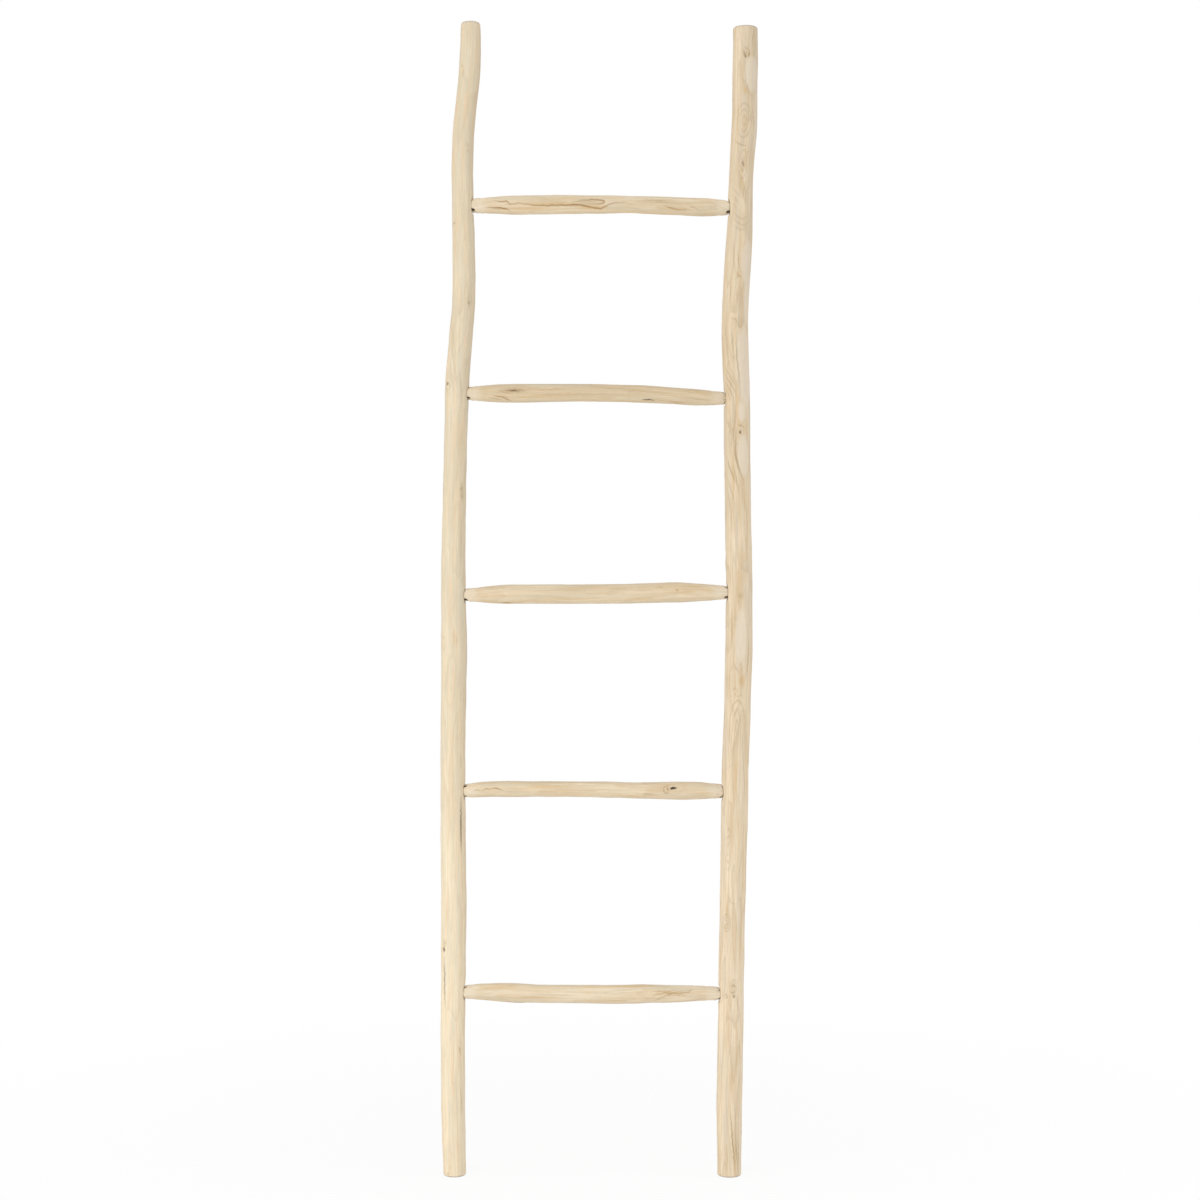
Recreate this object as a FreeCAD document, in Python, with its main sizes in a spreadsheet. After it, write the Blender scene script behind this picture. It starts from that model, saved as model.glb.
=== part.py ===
# Towel ladder of debarked branches, made to stand on the floor and lean on a wall.
# Two crooked poles carry five rungs. Each rung is whittled down at both ends to a neck and a
# round tenon, which sits in a blind mortise with a flared mouth, and one eight-sided wooden peg
# driven in from the back of the pole goes through each tenon.
# Millimetres. +Z is up, +X runs from the left pole to the right one as seen from the front, and
# the front faces -Y. The origin lies on the floor, midway between the poles.
import FreeCAD
import Part
import Sketcher
import math
import os

os.makedirs("parts", exist_ok=True)
doc = FreeCAD.newDocument("TowelLadder")

# The sizes that drive the ladder.
SIZES = [
    ("left_pole_height", "1850"),
    ("right_pole_height", "1842"),
    ("pole_spacing", "450"),
    ("left_pole_diameter", "40"),
    ("right_pole_diameter", "42"),
    ("pole_sway", "20"),
    ("pole_bow", "12"),
    ("top_easing", "4"),
    ("foot_easing", "3"),
    ("first_rung_height", "292"),
    ("rung_pitch", "316"),
    ("rung_stray", "14"),
    ("rung_seat_height", "30"),
    ("rung_diameter", "30"),
    ("rung_sway", "5"),
    ("tenon_diameter", "19"),
    ("tenon_past_axis", "9"),
    ("tenon_chamfer", "1.5"),
    ("neck_shoulder", "2"),
    ("mortise_fit", "0.15"),
    ("mortise_end_gap", "1"),
    ("mouth_depth", "4.5"),
    ("mouth_gap", "1.2"),
    ("peg_diameter", "6"),
    ("peg_fit", "0.1"),
    ("peg_past_tenon", "3"),
    ("peg_end_gap", "0.5"),
    ("peg_recess", "0.3"),
    ("peg_chamfer", "0.8"),
]
sheet = doc.addObject("Spreadsheet::Sheet", "Sizes")
for row, (alias, value) in enumerate(SIZES, start=1):
    sheet.set(f"A{row}", alias)
    sheet.set(f"B{row}", value)
    sheet.setAlias(f"B{row}", alias)
doc.recompute()

# Each pole is read in stretches: floor to the seat of rung 1, that seat to the seat of rung 2 and
# so on, and the seat of rung 5 to the top. A row is one round section of the branch: its place up
# the stretch, its offset sideways as a share of pole_sway, its offset to the back as a share of
# pole_bow, and its girth as a share of the pole's diameter. The first row of each stretch but the
# lowest is the seat under it, where the branch keeps one section for the whole height of the seat.
LEFT_POLE_SHARES = [
    [(0.00, -0.36, 0.05, 0.91), (0.38, -0.48, 0.20, 0.96), (0.73, -0.52, 0.35, 0.97)],
    [(0.00, -0.49, 0.45, 0.98), (0.38, -0.43, 0.50, 1.02)],
    [(0.00, -0.50, 0.25, 1.00), (0.20, -0.50, 0.10, 0.99), (0.78, -0.37, -0.20, 1.04)],
    [(0.00, -0.44, -0.35, 0.99), (0.19, -0.43, -0.45, 0.95), (0.80, -0.26, -0.45, 0.91)],
    [(0.00, -0.16, -0.35, 0.96), (0.46, 0.36, -0.05, 0.93), (0.57, 0.41, 0.00, 0.91),
     (0.88, 0.36, 0.16, 0.90)],
    [(0.00, 0.29, 0.25, 0.86), (0.18, 0.24, 0.35, 0.87), (0.35, 0.31, 0.40, 0.86),
     (0.50, 0.48, 0.40, 0.86), (0.68, 0.78, 0.35, 0.87), (0.85, 0.92, 0.27, 0.84),
     (1.00, 0.92, 0.20, 0.82)],
]
RIGHT_POLE_SHARES = [
    [(0.00, -0.82, -0.05, 0.90), (0.38, -0.83, -0.20, 0.98)],
    [(0.00, -0.69, -0.45, 0.97), (0.42, -0.58, -0.50, 0.97)],
    [(0.00, -0.39, -0.35, 1.03), (0.48, -0.13, 0.00, 1.01), (0.75, -0.04, 0.20, 1.05)],
    [(0.00, 0.00, 0.35, 1.01), (0.50, -0.12, 0.50, 1.00)],
    [(0.00, -0.20, 0.35, 1.01), (0.31, -0.38, 0.10, 1.01), (0.49, -0.34, -0.05, 1.01),
     (0.87, -0.02, -0.20, 1.01)],
    [(0.00, 0.06, -0.20, 0.94), (0.13, 0.12, -0.15, 0.92), (0.46, 0.42, 0.00, 0.98),
     (1.00, 0.49, 0.20, 0.94)],
]

# How far each hole strays up from even spacing, from rung 1 to rung 5, as shares of rung_stray.
LEFT_STRAY_SHARES = [0.02, 0.59, 0.47, 0.97, -0.01]
RIGHT_STRAY_SHARES = [0.00, 0.57, 0.75, 0.47, -0.32]

# How full each neck is where it leaves the pole, left and right, as shares of neck_shoulder.
NECK_SHARES = [(0.83, 0.63), (0.70, 1.18), (0.40, 0.88), (0.67, 0.47), (1.19, 1.07)]

# A row is one round section of a rung: its place along the clear span between the poles, its
# rise and its offset to the back as shares of rung_sway, and its girth as a share of the
# rung's diameter.
RUNG_SHARES = [
    [(0.06, 0.18, 0.10, 0.84), (0.15, -0.04, 0.22, 1.00), (0.20, -0.25, 0.28, 1.04),
     (0.29, -0.44, 0.35, 0.95), (0.57, -0.50, 0.15, 0.99), (0.69, -0.28, 0.00, 1.00),
     (0.80, -0.14, -0.10, 0.93), (0.90, 0.00, -0.08, 0.83)],
    [(0.06, 0.38, -0.10, 0.82), (0.13, 0.60, -0.20, 0.85), (0.40, 0.63, -0.45, 0.82),
     (0.53, 0.53, -0.40, 0.85), (0.68, 0.20, -0.25, 0.86), (0.84, 0.19, 0.00, 0.97),
     (0.92, 0.16, 0.05, 0.91)],
    [(0.05, 0.04, 0.05, 0.79), (0.10, 0.08, 0.10, 0.93), (0.16, 0.15, 0.15, 1.03),
     (0.45, -0.06, 0.40, 1.04), (0.60, -0.08, 0.40, 1.05), (0.82, 0.25, 0.20, 1.08),
     (0.90, 0.09, 0.10, 0.94), (0.96, 0.05, 0.04, 0.81)],
    [(0.05, 0.04, -0.05, 0.82), (0.12, 0.25, -0.15, 0.98), (0.20, 0.36, -0.25, 1.00),
     (0.45, 0.96, -0.30, 0.93), (0.68, 0.93, -0.05, 0.93), (0.90, 0.16, 0.10, 0.86),
     (0.96, 0.06, 0.05, 0.77)],
    [(0.05, 0.12, 0.05, 0.85), (0.12, 0.33, 0.12, 0.96), (0.18, 0.37, 0.20, 1.02),
     (0.34, 0.69, 0.35, 1.02), (0.62, 0.89, 0.30, 0.91), (0.90, 0.15, 0.05, 0.98),
     (0.96, 0.08, 0.02, 0.87)],
]
RUNG_COUNT = len(RUNG_SHARES)

# A round section is drawn in quarters, which meet on the axes of its sketch.
QUARTERS = 4
QUARTER_TURN = math.pi / 2
SEAM_TURN = 45


def size(expression):
    """The number that an expression of the sheet gives."""
    return float(sheet.evalExpression(expression))


# A rim is found by where it lies, to within this share of the tenon's chamfer.
RIM_MATCH_SHARE = 0.02
RIM_MATCH = RIM_MATCH_SHARE * size("Sizes.tenon_chamfer")


def new_body(label):
    """An empty body; its label is the name of the piece."""
    body = doc.addObject("PartDesign::Body", label)
    body.Label = label
    return body


def origin_plane(body, role):
    """One of a body's own origin planes."""
    return next(plane for plane in body.Origin.OriginFeatures if plane.Role == role)


def placed_sketch(body, name, role, right, up, out, turn=0):
    """A sketch parallel to an origin plane, its own origin moved right, up and out of the plane.

    turn is how far its axes are turned in that plane, in degrees.
    """
    sketch = body.newObject("Sketcher::SketchObject", name)
    sketch.AttachmentSupport = [(origin_plane(body, role), "")]
    sketch.MapMode = "FlatFace"
    sketch.AttachmentOffset = FreeCAD.Placement(
        FreeCAD.Vector(), FreeCAD.Rotation(FreeCAD.Vector(0, 0, 1), turn))
    sketch.setExpression("AttachmentOffset.Base.x", right)
    sketch.setExpression("AttachmentOffset.Base.y", up)
    sketch.setExpression("AttachmentOffset.Base.z", out)
    return sketch


def add_circle(sketch, diameter):
    """A circle about the sketch's origin, its diameter an expression."""
    circle = sketch.addGeometry(
        Part.Circle(FreeCAD.Vector(), FreeCAD.Vector(0, 0, 1), size(diameter) / 2), False)
    sketch.addConstraint(Sketcher.Constraint("Coincident", circle, 3, -1, 1))
    diameter_constraint = sketch.addConstraint(
        Sketcher.Constraint("Diameter", circle, size(diameter)))
    sketch.setExpression(f"Constraints[{diameter_constraint}]", diameter)


def add_round(sketch, diameter):
    """A round section about the sketch's origin, drawn as four quarter arcs that meet on its axes."""
    radius = size(diameter) / 2
    whole = Part.Circle(FreeCAD.Vector(), FreeCAD.Vector(0, 0, 1), radius)
    arcs = []
    for quarter in range(QUARTERS):
        arcs.append(sketch.addGeometry(
            Part.ArcOfCircle(whole, quarter * QUARTER_TURN, (quarter + 1) * QUARTER_TURN), False))
    for arc, following in zip(arcs, arcs[1:]):
        sketch.addConstraint(Sketcher.Constraint("Coincident", arc, 2, following, 1))
    for quarter, arc in enumerate(arcs):
        sketch.addConstraint(Sketcher.Constraint("Coincident", arc, 3, -1, 1))
        sketch.addConstraint(Sketcher.Constraint("PointOnObject", arc, 1, -1 - quarter % 2))
    sketch.addConstraint(Sketcher.Constraint("PointOnObject", arcs[-1], 2, -1))
    diameter_constraint = sketch.addConstraint(
        Sketcher.Constraint("Diameter", arcs[0], size(diameter)))
    sketch.setExpression(f"Constraints[{diameter_constraint}]", diameter)


def add_outline(sketch, points):
    """A closed outline of straight lines; each point is a pair of expressions, "0" on an axis."""
    corners = [FreeCAD.Vector(size(x), size(y), 0) for x, y in points]
    lines = []
    for start, end in zip(corners, corners[1:] + corners[:1]):
        lines.append(sketch.addGeometry(Part.LineSegment(start, end), False))
    for line, following in zip(lines, lines[1:] + lines[:1]):
        sketch.addConstraint(Sketcher.Constraint("Coincident", line, 2, following, 1))
    for line, (x, y) in zip(lines, points):
        if x == "0":
            sketch.addConstraint(Sketcher.Constraint("PointOnObject", line, 1, -2))
        else:
            across = sketch.addConstraint(
                Sketcher.Constraint("DistanceX", -1, 1, line, 1, size(x)))
            sketch.setExpression(f"Constraints[{across}]", x)
        if y == "0":
            sketch.addConstraint(Sketcher.Constraint("PointOnObject", line, 1, -1))
        else:
            upward = sketch.addConstraint(
                Sketcher.Constraint("DistanceY", -1, 1, line, 1, size(y)))
            sketch.setExpression(f"Constraints[{upward}]", y)


def rim_edges(shape, axis, place):
    """Names of the edges of a shape that lie all the way round at one place along an axis."""
    names = []
    for number, edge in enumerate(shape.Edges, start=1):
        low = getattr(edge.BoundBox, f"{axis}Min")
        high = getattr(edge.BoundBox, f"{axis}Max")
        if abs(low - place) < RIM_MATCH and abs(high - place) < RIM_MATCH:
            names.append(f"Edge{number}")
    return names


class Section:
    """One round section of a branch: its centre and diameter, as expressions of the sheet."""

    def __init__(self, x, y, z, diameter):
        self.x = x
        self.y = y
        self.z = z
        self.diameter = diameter
        self.radius = f"({diameter}) / 2"


def rung_height(level, stray_shares):
    """Height of a rung's hole above the floor; level 0 is rung 1."""
    return (f"Sizes.first_rung_height + {level} * Sizes.rung_pitch"
            f" + {stray_shares[level]} * Sizes.rung_stray")


def pole_sections(side, mean_line, shares, stray_shares):
    """The sections of one pole from the floor up, and those at the centres of its rung seats."""
    holes = [rung_height(level, stray_shares) for level in range(RUNG_COUNT)]
    lows = ["2 * Sizes.foot_easing"] + [f"{hole} + Sizes.rung_seat_height / 2" for hole in holes]
    highs = [f"{hole} - Sizes.rung_seat_height / 2" for hole in holes]
    highs.append(f"Sizes.{side}_pole_height - 2 * Sizes.top_easing")
    sections = []
    seats = []
    for stretch, (low, high, rows) in enumerate(zip(lows, highs, shares)):
        for row, (along, sideways, backwards, girth) in enumerate(rows):
            x = f"{mean_line} + {sideways} * Sizes.pole_sway"
            y = f"{backwards} * Sizes.pole_bow"
            diameter = f"{girth} * Sizes.{side}_pole_diameter"
            if stretch > 0 and row == 0:
                seats.append(Section(x, y, holes[stretch - 1], diameter))
                sections.append(Section(x, y, highs[stretch - 1], diameter))
                sections.append(Section(x, y, low, diameter))
            else:
                z = f"{1 - along} * ({low}) + {along} * ({high})"
                sections.append(Section(x, y, z, diameter))
    return sections, seats


# The seats run from rung 1 to rung 5.
left_sections, left_seats = pole_sections(
    "left", "-Sizes.pole_spacing / 2", LEFT_POLE_SHARES, LEFT_STRAY_SHARES)
right_sections, right_seats = pole_sections(
    "right", "Sizes.pole_spacing / 2", RIGHT_POLE_SHARES, RIGHT_STRAY_SHARES)


def neck_radius(level, side):
    """Radius of a rung's neck where it meets the pole's face; side 0 is left, 1 is right."""
    return f"Sizes.tenon_diameter / 2 + {NECK_SHARES[level][side]} * Sizes.neck_shoulder"


def make_pole(label, sections, seats, side, inward):
    """A pole: the branch with eased ends, its mortises and its peg holes.

    inward is "" where the rungs lie towards +X and "-" where they lie towards -X.
    """
    body = new_body(label)
    sketches = []
    for section in sections:
        # The seams between quarters run clear of the holes.
        sketch = placed_sketch(body, f"{label}_section_{len(sketches) + 1}", "XY_Plane",
                               section.x, section.y, section.z, SEAM_TURN)
        add_round(sketch, section.diameter)
        sketches.append(sketch)
    branch = body.newObject("PartDesign::AdditiveLoft", f"{label}_branch")
    branch.Profile = sketches[0]
    branch.Sections = [(sketch, [""]) for sketch in sketches[1:]]
    branch.Ruled = True
    doc.recompute()
    # The sawn ends: a straight disc on each end of the branch, its rim taken off.
    for easing, end, downwards in (("top_easing", sections[-1], False),
                                   ("foot_easing", sections[0], True)):
        circle = placed_sketch(body, f"{label}_{easing}_circle", "XY_Plane", end.x, end.y, end.z)
        add_circle(circle, end.diameter)
        disc = body.newObject("PartDesign::Pad", f"{label}_{easing}_disc")
        disc.Profile = circle
        disc.Reversed = downwards
        disc.setExpression("Length", f"2 * Sizes.{easing}")
        doc.recompute()
        reach = circle.Placement.Base.z + disc.Length.Value * (-1 if downwards else 1)
        chamfer = body.newObject("PartDesign::Chamfer", f"{label}_{easing}")
        chamfer.Base = (disc, rim_edges(disc.Shape, "Z", reach))
        chamfer.setExpression("Size", f"Sizes.{easing}")
        doc.recompute()
    solid = body.Tip
    for level, seat in enumerate(seats):
        before = solid.Shape.Volume
        bore = "Sizes.tenon_diameter / 2 + Sizes.mortise_fit"
        end = f"{inward}(-Sizes.tenon_past_axis - Sizes.mortise_end_gap)"
        throat = f"{inward}({seat.radius} - Sizes.mouth_depth)"
        outside = f"{inward}({seat.radius} + Sizes.mouth_depth)"
        mouth = f"{neck_radius(level, side)} + Sizes.mouth_gap"
        # The mortise turned about the rung's line: a flat-ended bore, and a flare that opens to
        # the mouth at the pole's face and as far again beyond it, clear of the wood.
        profile = placed_sketch(body, f"{label}_mortise_{level + 1}_profile", "XZ_Plane",
                                seat.x, seat.z, f"-({seat.y})")
        add_outline(profile, [(end, "0"), (end, bore), (throat, bore),
                              (outside, f"2 * ({mouth}) - ({bore})"), (outside, "0")])
        mortise = body.newObject("PartDesign::Groove", f"{label}_mortise_{level + 1}")
        mortise.Profile = profile
        mortise.ReferenceAxis = (profile, ["H_Axis"])
        mortise.Angle = 360
        doc.recompute()
        # The peg hole, from just past the tenon out through the back of the pole.
        floor = "Sizes.tenon_diameter / 2 + Sizes.peg_past_tenon + Sizes.peg_end_gap"
        circle = placed_sketch(body, f"{label}_peg_hole_{level + 1}_circle", "XZ_Plane",
                               seat.x, seat.z, f"{floor} - ({seat.y})")
        add_circle(circle, "Sizes.peg_diameter + 2 * Sizes.peg_fit")
        peg_hole = body.newObject("PartDesign::Pocket", f"{label}_peg_hole_{level + 1}")
        peg_hole.Profile = circle
        peg_hole.Type = 1
        doc.recompute()
        if not peg_hole.Shape.Volume < mortise.Shape.Volume < before:
            raise RuntimeError(f"{label}: a hole at rung {level + 1} cut nothing")
        solid = peg_hole
    return body


def make_rung(level):
    """A rung: the branch between its two necks, and a cross-drilled tenon at each end."""
    label = f"rung_{level + 1}"
    body = new_body(label)
    left = left_seats[level]
    right = right_seats[level]
    left_face = f"({left.x} + {left.radius})"
    right_face = f"({right.x} - {right.radius})"
    sections = [
        Section(f"{left_face} - Sizes.mouth_depth", left.y, left.z, "Sizes.tenon_diameter"),
        Section(left_face, left.y, left.z, f"2 * ({neck_radius(level, 0)})"),
    ]
    for along, rise, backwards, girth in RUNG_SHARES[level]:
        back = 1 - along
        sections.append(Section(
            f"{back} * {left_face} + {along} * {right_face}",
            f"{back} * ({left.y}) + {along} * ({right.y}) + {backwards} * Sizes.rung_sway",
            f"{back} * ({left.z}) + {along} * ({right.z}) + {rise} * Sizes.rung_sway",
            f"{girth} * Sizes.rung_diameter"))
    sections += [
        Section(right_face, right.y, right.z, f"2 * ({neck_radius(level, 1)})"),
        Section(f"{right_face} + Sizes.mouth_depth", right.y, right.z, "Sizes.tenon_diameter"),
    ]
    sketches = []
    for section in sections:
        sketch = placed_sketch(body, f"{label}_section_{len(sketches) + 1}", "YZ_Plane",
                               section.y, section.z, section.x)
        add_round(sketch, section.diameter)
        sketches.append(sketch)
    branch = body.newObject("PartDesign::AdditiveLoft", f"{label}_branch")
    branch.Profile = sketches[0]
    branch.Sections = [(sketch, [""]) for sketch in sketches[1:]]
    branch.Ruled = True
    doc.recompute()
    for name, throat, seat, reversed_pad in (("left", sections[0], left, True),
                                             ("right", sections[-1], right, False)):
        before = body.Tip.Shape.Volume
        circle = placed_sketch(body, f"{label}_{name}_tenon_circle", "YZ_Plane",
                               throat.y, throat.z, throat.x)
        add_circle(circle, throat.diameter)
        tenon = body.newObject("PartDesign::Pad", f"{label}_{name}_tenon")
        tenon.Profile = circle
        tenon.Reversed = reversed_pad
        tenon.setExpression(
            "Length", f"{seat.radius} - Sizes.mouth_depth + Sizes.tenon_past_axis")
        doc.recompute()
        if not tenon.Shape.Volume > before:
            raise RuntimeError(f"{label}: the {name} tenon added nothing")
    tipped = body.Tip
    ends = tipped.Shape.BoundBox
    edges = rim_edges(tipped.Shape, "X", ends.XMin) + rim_edges(tipped.Shape, "X", ends.XMax)
    chamfer = body.newObject("PartDesign::Chamfer", f"{label}_tenon_ends")
    chamfer.Base = (tipped, edges)
    chamfer.setExpression("Size", "Sizes.tenon_chamfer")
    doc.recompute()
    for name, seat in (("left", left), ("right", right)):
        before = body.Tip.Shape.Volume
        circle = placed_sketch(body, f"{label}_{name}_peg_circle", "XZ_Plane",
                               seat.x, seat.z, f"-({seat.y})")
        add_circle(circle, "Sizes.peg_diameter + 2 * Sizes.peg_fit")
        peg_hole = body.newObject("PartDesign::Pocket", f"{label}_{name}_peg_hole")
        peg_hole.Profile = circle
        peg_hole.Type = 1
        peg_hole.Midplane = True
        doc.recompute()
        if not peg_hole.Shape.Volume < before:
            raise RuntimeError(f"{label}: the {name} peg hole cut nothing")
    return body


def make_peg(label, seat):
    """A peg whittled to eight sides, its tip chamfered, trimmed just under the back of the pole."""
    body = new_body(label)
    tip = "Sizes.tenon_diameter / 2 + Sizes.peg_past_tenon"
    outline = placed_sketch(body, f"{label}_outline", "XZ_Plane",
                            seat.x, seat.z, f"{tip} - ({seat.y})")
    corner = "Sizes.peg_diameter / 2"
    flank = f"{math.sqrt(0.5)} * {corner}"
    add_outline(outline, [(corner, "0"), (flank, flank), ("0", corner), (f"-{flank}", flank),
                          (f"-{corner}", "0"), (f"-{flank}", f"-{flank}"),
                          ("0", f"-{corner}"), (flank, f"-{flank}")])
    shank = body.newObject("PartDesign::Pad", f"{label}_shank")
    shank.Profile = outline
    shank.Reversed = True
    shank.setExpression("Length", f"{tip} + {seat.radius} - Sizes.peg_recess")
    doc.recompute()
    edges = rim_edges(shank.Shape, "Y", shank.Shape.BoundBox.YMin)
    chamfer = body.newObject("PartDesign::Chamfer", f"{label}_tip")
    chamfer.Base = (shank, edges)
    chamfer.setExpression("Size", "Sizes.peg_chamfer")
    doc.recompute()
    return body


bodies = [
    make_pole("left_pole", left_sections, left_seats, 0, ""),
    make_pole("right_pole", right_sections, right_seats, 1, "-"),
]
for level in range(RUNG_COUNT):
    bodies.append(make_rung(level))
for level in range(RUNG_COUNT):
    bodies.append(make_peg(f"rung_{level + 1}_left_peg", left_seats[level]))
    bodies.append(make_peg(f"rung_{level + 1}_right_peg", right_seats[level]))
doc.recompute()

for item in doc.Objects:
    if "Invalid" in item.State or "Error" in item.State:
        raise RuntimeError(f"{item.Label} did not build")
for body in bodies:
    shape = body.Shape
    if shape.isNull() or not shape.isValid() or len(shape.Solids) != 1:
        raise RuntimeError(f"{body.Label} is not one sound solid")
    shape.exportStep(f"parts/{body.Label}.step")
    box = shape.optimalBoundingBox(False)
    print(f"{body.Label}: {box.XLength:.1f} x {box.YLength:.1f} x {box.ZLength:.1f} mm,"
          f" {shape.Volume / 1000:.1f} cm3")
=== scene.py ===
# Towel ladder of debarked branches: the look of every piece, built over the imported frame.
# Metres. +Z is up, +X runs to the right as seen from the front, and the front faces -Y.
import math
from collections import namedtuple

import bpy
import numpy as np
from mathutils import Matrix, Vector


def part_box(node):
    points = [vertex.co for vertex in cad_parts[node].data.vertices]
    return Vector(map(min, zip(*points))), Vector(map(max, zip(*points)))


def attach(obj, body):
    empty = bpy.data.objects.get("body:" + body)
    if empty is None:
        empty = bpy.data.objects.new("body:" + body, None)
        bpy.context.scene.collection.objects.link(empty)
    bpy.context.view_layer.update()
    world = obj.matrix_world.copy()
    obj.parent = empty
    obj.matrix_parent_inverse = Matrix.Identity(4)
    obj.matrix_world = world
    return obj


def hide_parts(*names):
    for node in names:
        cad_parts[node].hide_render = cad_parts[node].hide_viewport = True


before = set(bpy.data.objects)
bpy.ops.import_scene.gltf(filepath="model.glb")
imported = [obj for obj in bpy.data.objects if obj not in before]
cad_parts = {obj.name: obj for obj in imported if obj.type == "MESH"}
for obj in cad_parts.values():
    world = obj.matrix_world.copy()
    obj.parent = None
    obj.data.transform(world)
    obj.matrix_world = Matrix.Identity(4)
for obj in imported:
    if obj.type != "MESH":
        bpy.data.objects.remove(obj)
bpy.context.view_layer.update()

scene = bpy.context.scene
MM = 0.001
FULL_TURN = 2 * math.pi
RUNG_NUMBERS = range(1, 6)
# Each pole, and the way its inner face looks along X.
SIDES = {"left": 1, "right": -1}
# The axis that runs from front to back.
DEPTH = 1

# How a branch is read from the CAD: the spacing that tells two of its rings apart, how round a
# ring has to be, the step of the heart line, and how far the line is softened.
RING_SPACING = 0.02 * MM
LEAST_CORNERS = 12
RING_MISS = 0.05 * MM
NODE_STEP = 1.0 * MM
POLE_SOFTNESS = 14 * MM
RUNG_SOFTNESS = 5 * MM

# How finely a skin is drawn, along the branch and around it, how much closer its columns stand
# on the front, and from what angle on an edge is shaded as a sharp one.
POLE_STEP = 1.5 * MM
POLE_COLUMNS = 76
RUNG_STEP = 1.1 * MM
RUNG_COLUMNS = 72
FRONT_CLOSENESS = 0.42
SHARP_ANGLE = math.radians(38)

# The unevenness of a branch, in long swells and small dapples: how high they stand, how long
# their waves are, the most waves around, and how many waves if not the usual number.
POLE_RIPPLES = ((0.28 * MM, 90 * MM, 3), (0.07 * MM, 22 * MM, 9, 24))
RUNG_RIPPLES = ((0.25 * MM, 60 * MM, 3), (0.06 * MM, 16 * MM, 7, 24))

# How the marks are drawn: how far and in what waves they sway, and how soft the edges of a line,
# a knot and each tone of patch are, as shares of the mark's size from outside to inside.
MARK_SWAY = 0.5 * MM
SWAY_WAVES = ((14 * MM, 5), (10 * MM, 5))
LINE_EDGE = (1.3, 0.35)
LINE_TAPER = 0.35
KNOT_EDGE = (1.25, 0.5)
SWIRL_REACH = 2.4
PATCH_EDGE = 1.15
PATCH_CORES = {"pale": 0.65, "warm": 0.1, "line": 0.2}

# How the sawn ends are eased, and where the rows of a flat end lie, as shares of its radius.
TOP_EASING = {"left": 4.5 * MM, "right": 3.6 * MM}
FOOT_EASING = 3 * MM
RUNG_EASING = 1.5 * MM
EASING_ROWS = 6
CAP_SHARES = (0.10, 0.25, 0.42, 0.60, 0.78, 0.92)

# The joints, as the CAD has them, with the slips of the tool round their mouths.
BORE_FIT = 0.15 * MM
BORE_END_GAP = 1.0 * MM
MORTISE_COLUMNS = 72
PEG_HOLE_RADIUS = 3.1 * MM
PEG_HOLE_COLUMNS = 28
PEG_HOLE_ENDS = (0.5 * MM, 12 * MM)
MOUTH_GAPS = {"left": 1.3 * MM, "right": 2.2 * MM}
MOUTH_UNEVENNESS = 0.6 * MM
MOUTH_WAVES = (20 * MM, 4)
BUTT_ROUNDING = {"left": 1.2 * MM, "right": 2.4 * MM}

# The whittled necks: how many flats they have, how proud the flats' edges stand, how the flats
# wander, how far from the pole's face the tool marks end and where they are whole, and over what
# length the rung takes up its softened sections and its ripples.
FLATS = 9
FLAT_RISE = 0.012
WANDER_WAVES = (12 * MM, 2)
WHITTLED_REACH = (30 * MM, 12 * MM)
SOFTENED_OVER = 8 * MM
RIPPLED_OVER = 20 * MM


# Marks on a branch. Places along a branch are in millimetres, up from the floor on a pole and
# along X on a rung. A turn is in degrees round the branch from its front, towards the right on
# a pole and upwards on a rung. A route is made of such places and turns.
Knot = namedtuple("Knot", "at turn tall wide dark proud")
Patch = namedtuple("Patch", "at turn tall wide tone strength")
Ovals = namedtuple("Ovals", "at turn tall wide rings strength")
Line = namedtuple("Line", "width strength route")
Crack = namedtuple("Crack", "width depth dark route")
Nook = namedtuple("Nook", "turn size depth")
Joint = namedtuple("Joint", "up depth tenon neck end throat face")


def line(width, strength, *route):
    """A drawn line; its route is written as place, turn, place, turn and so on."""
    return Line(width, strength, list(zip(route[::2], route[1::2])))


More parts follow.
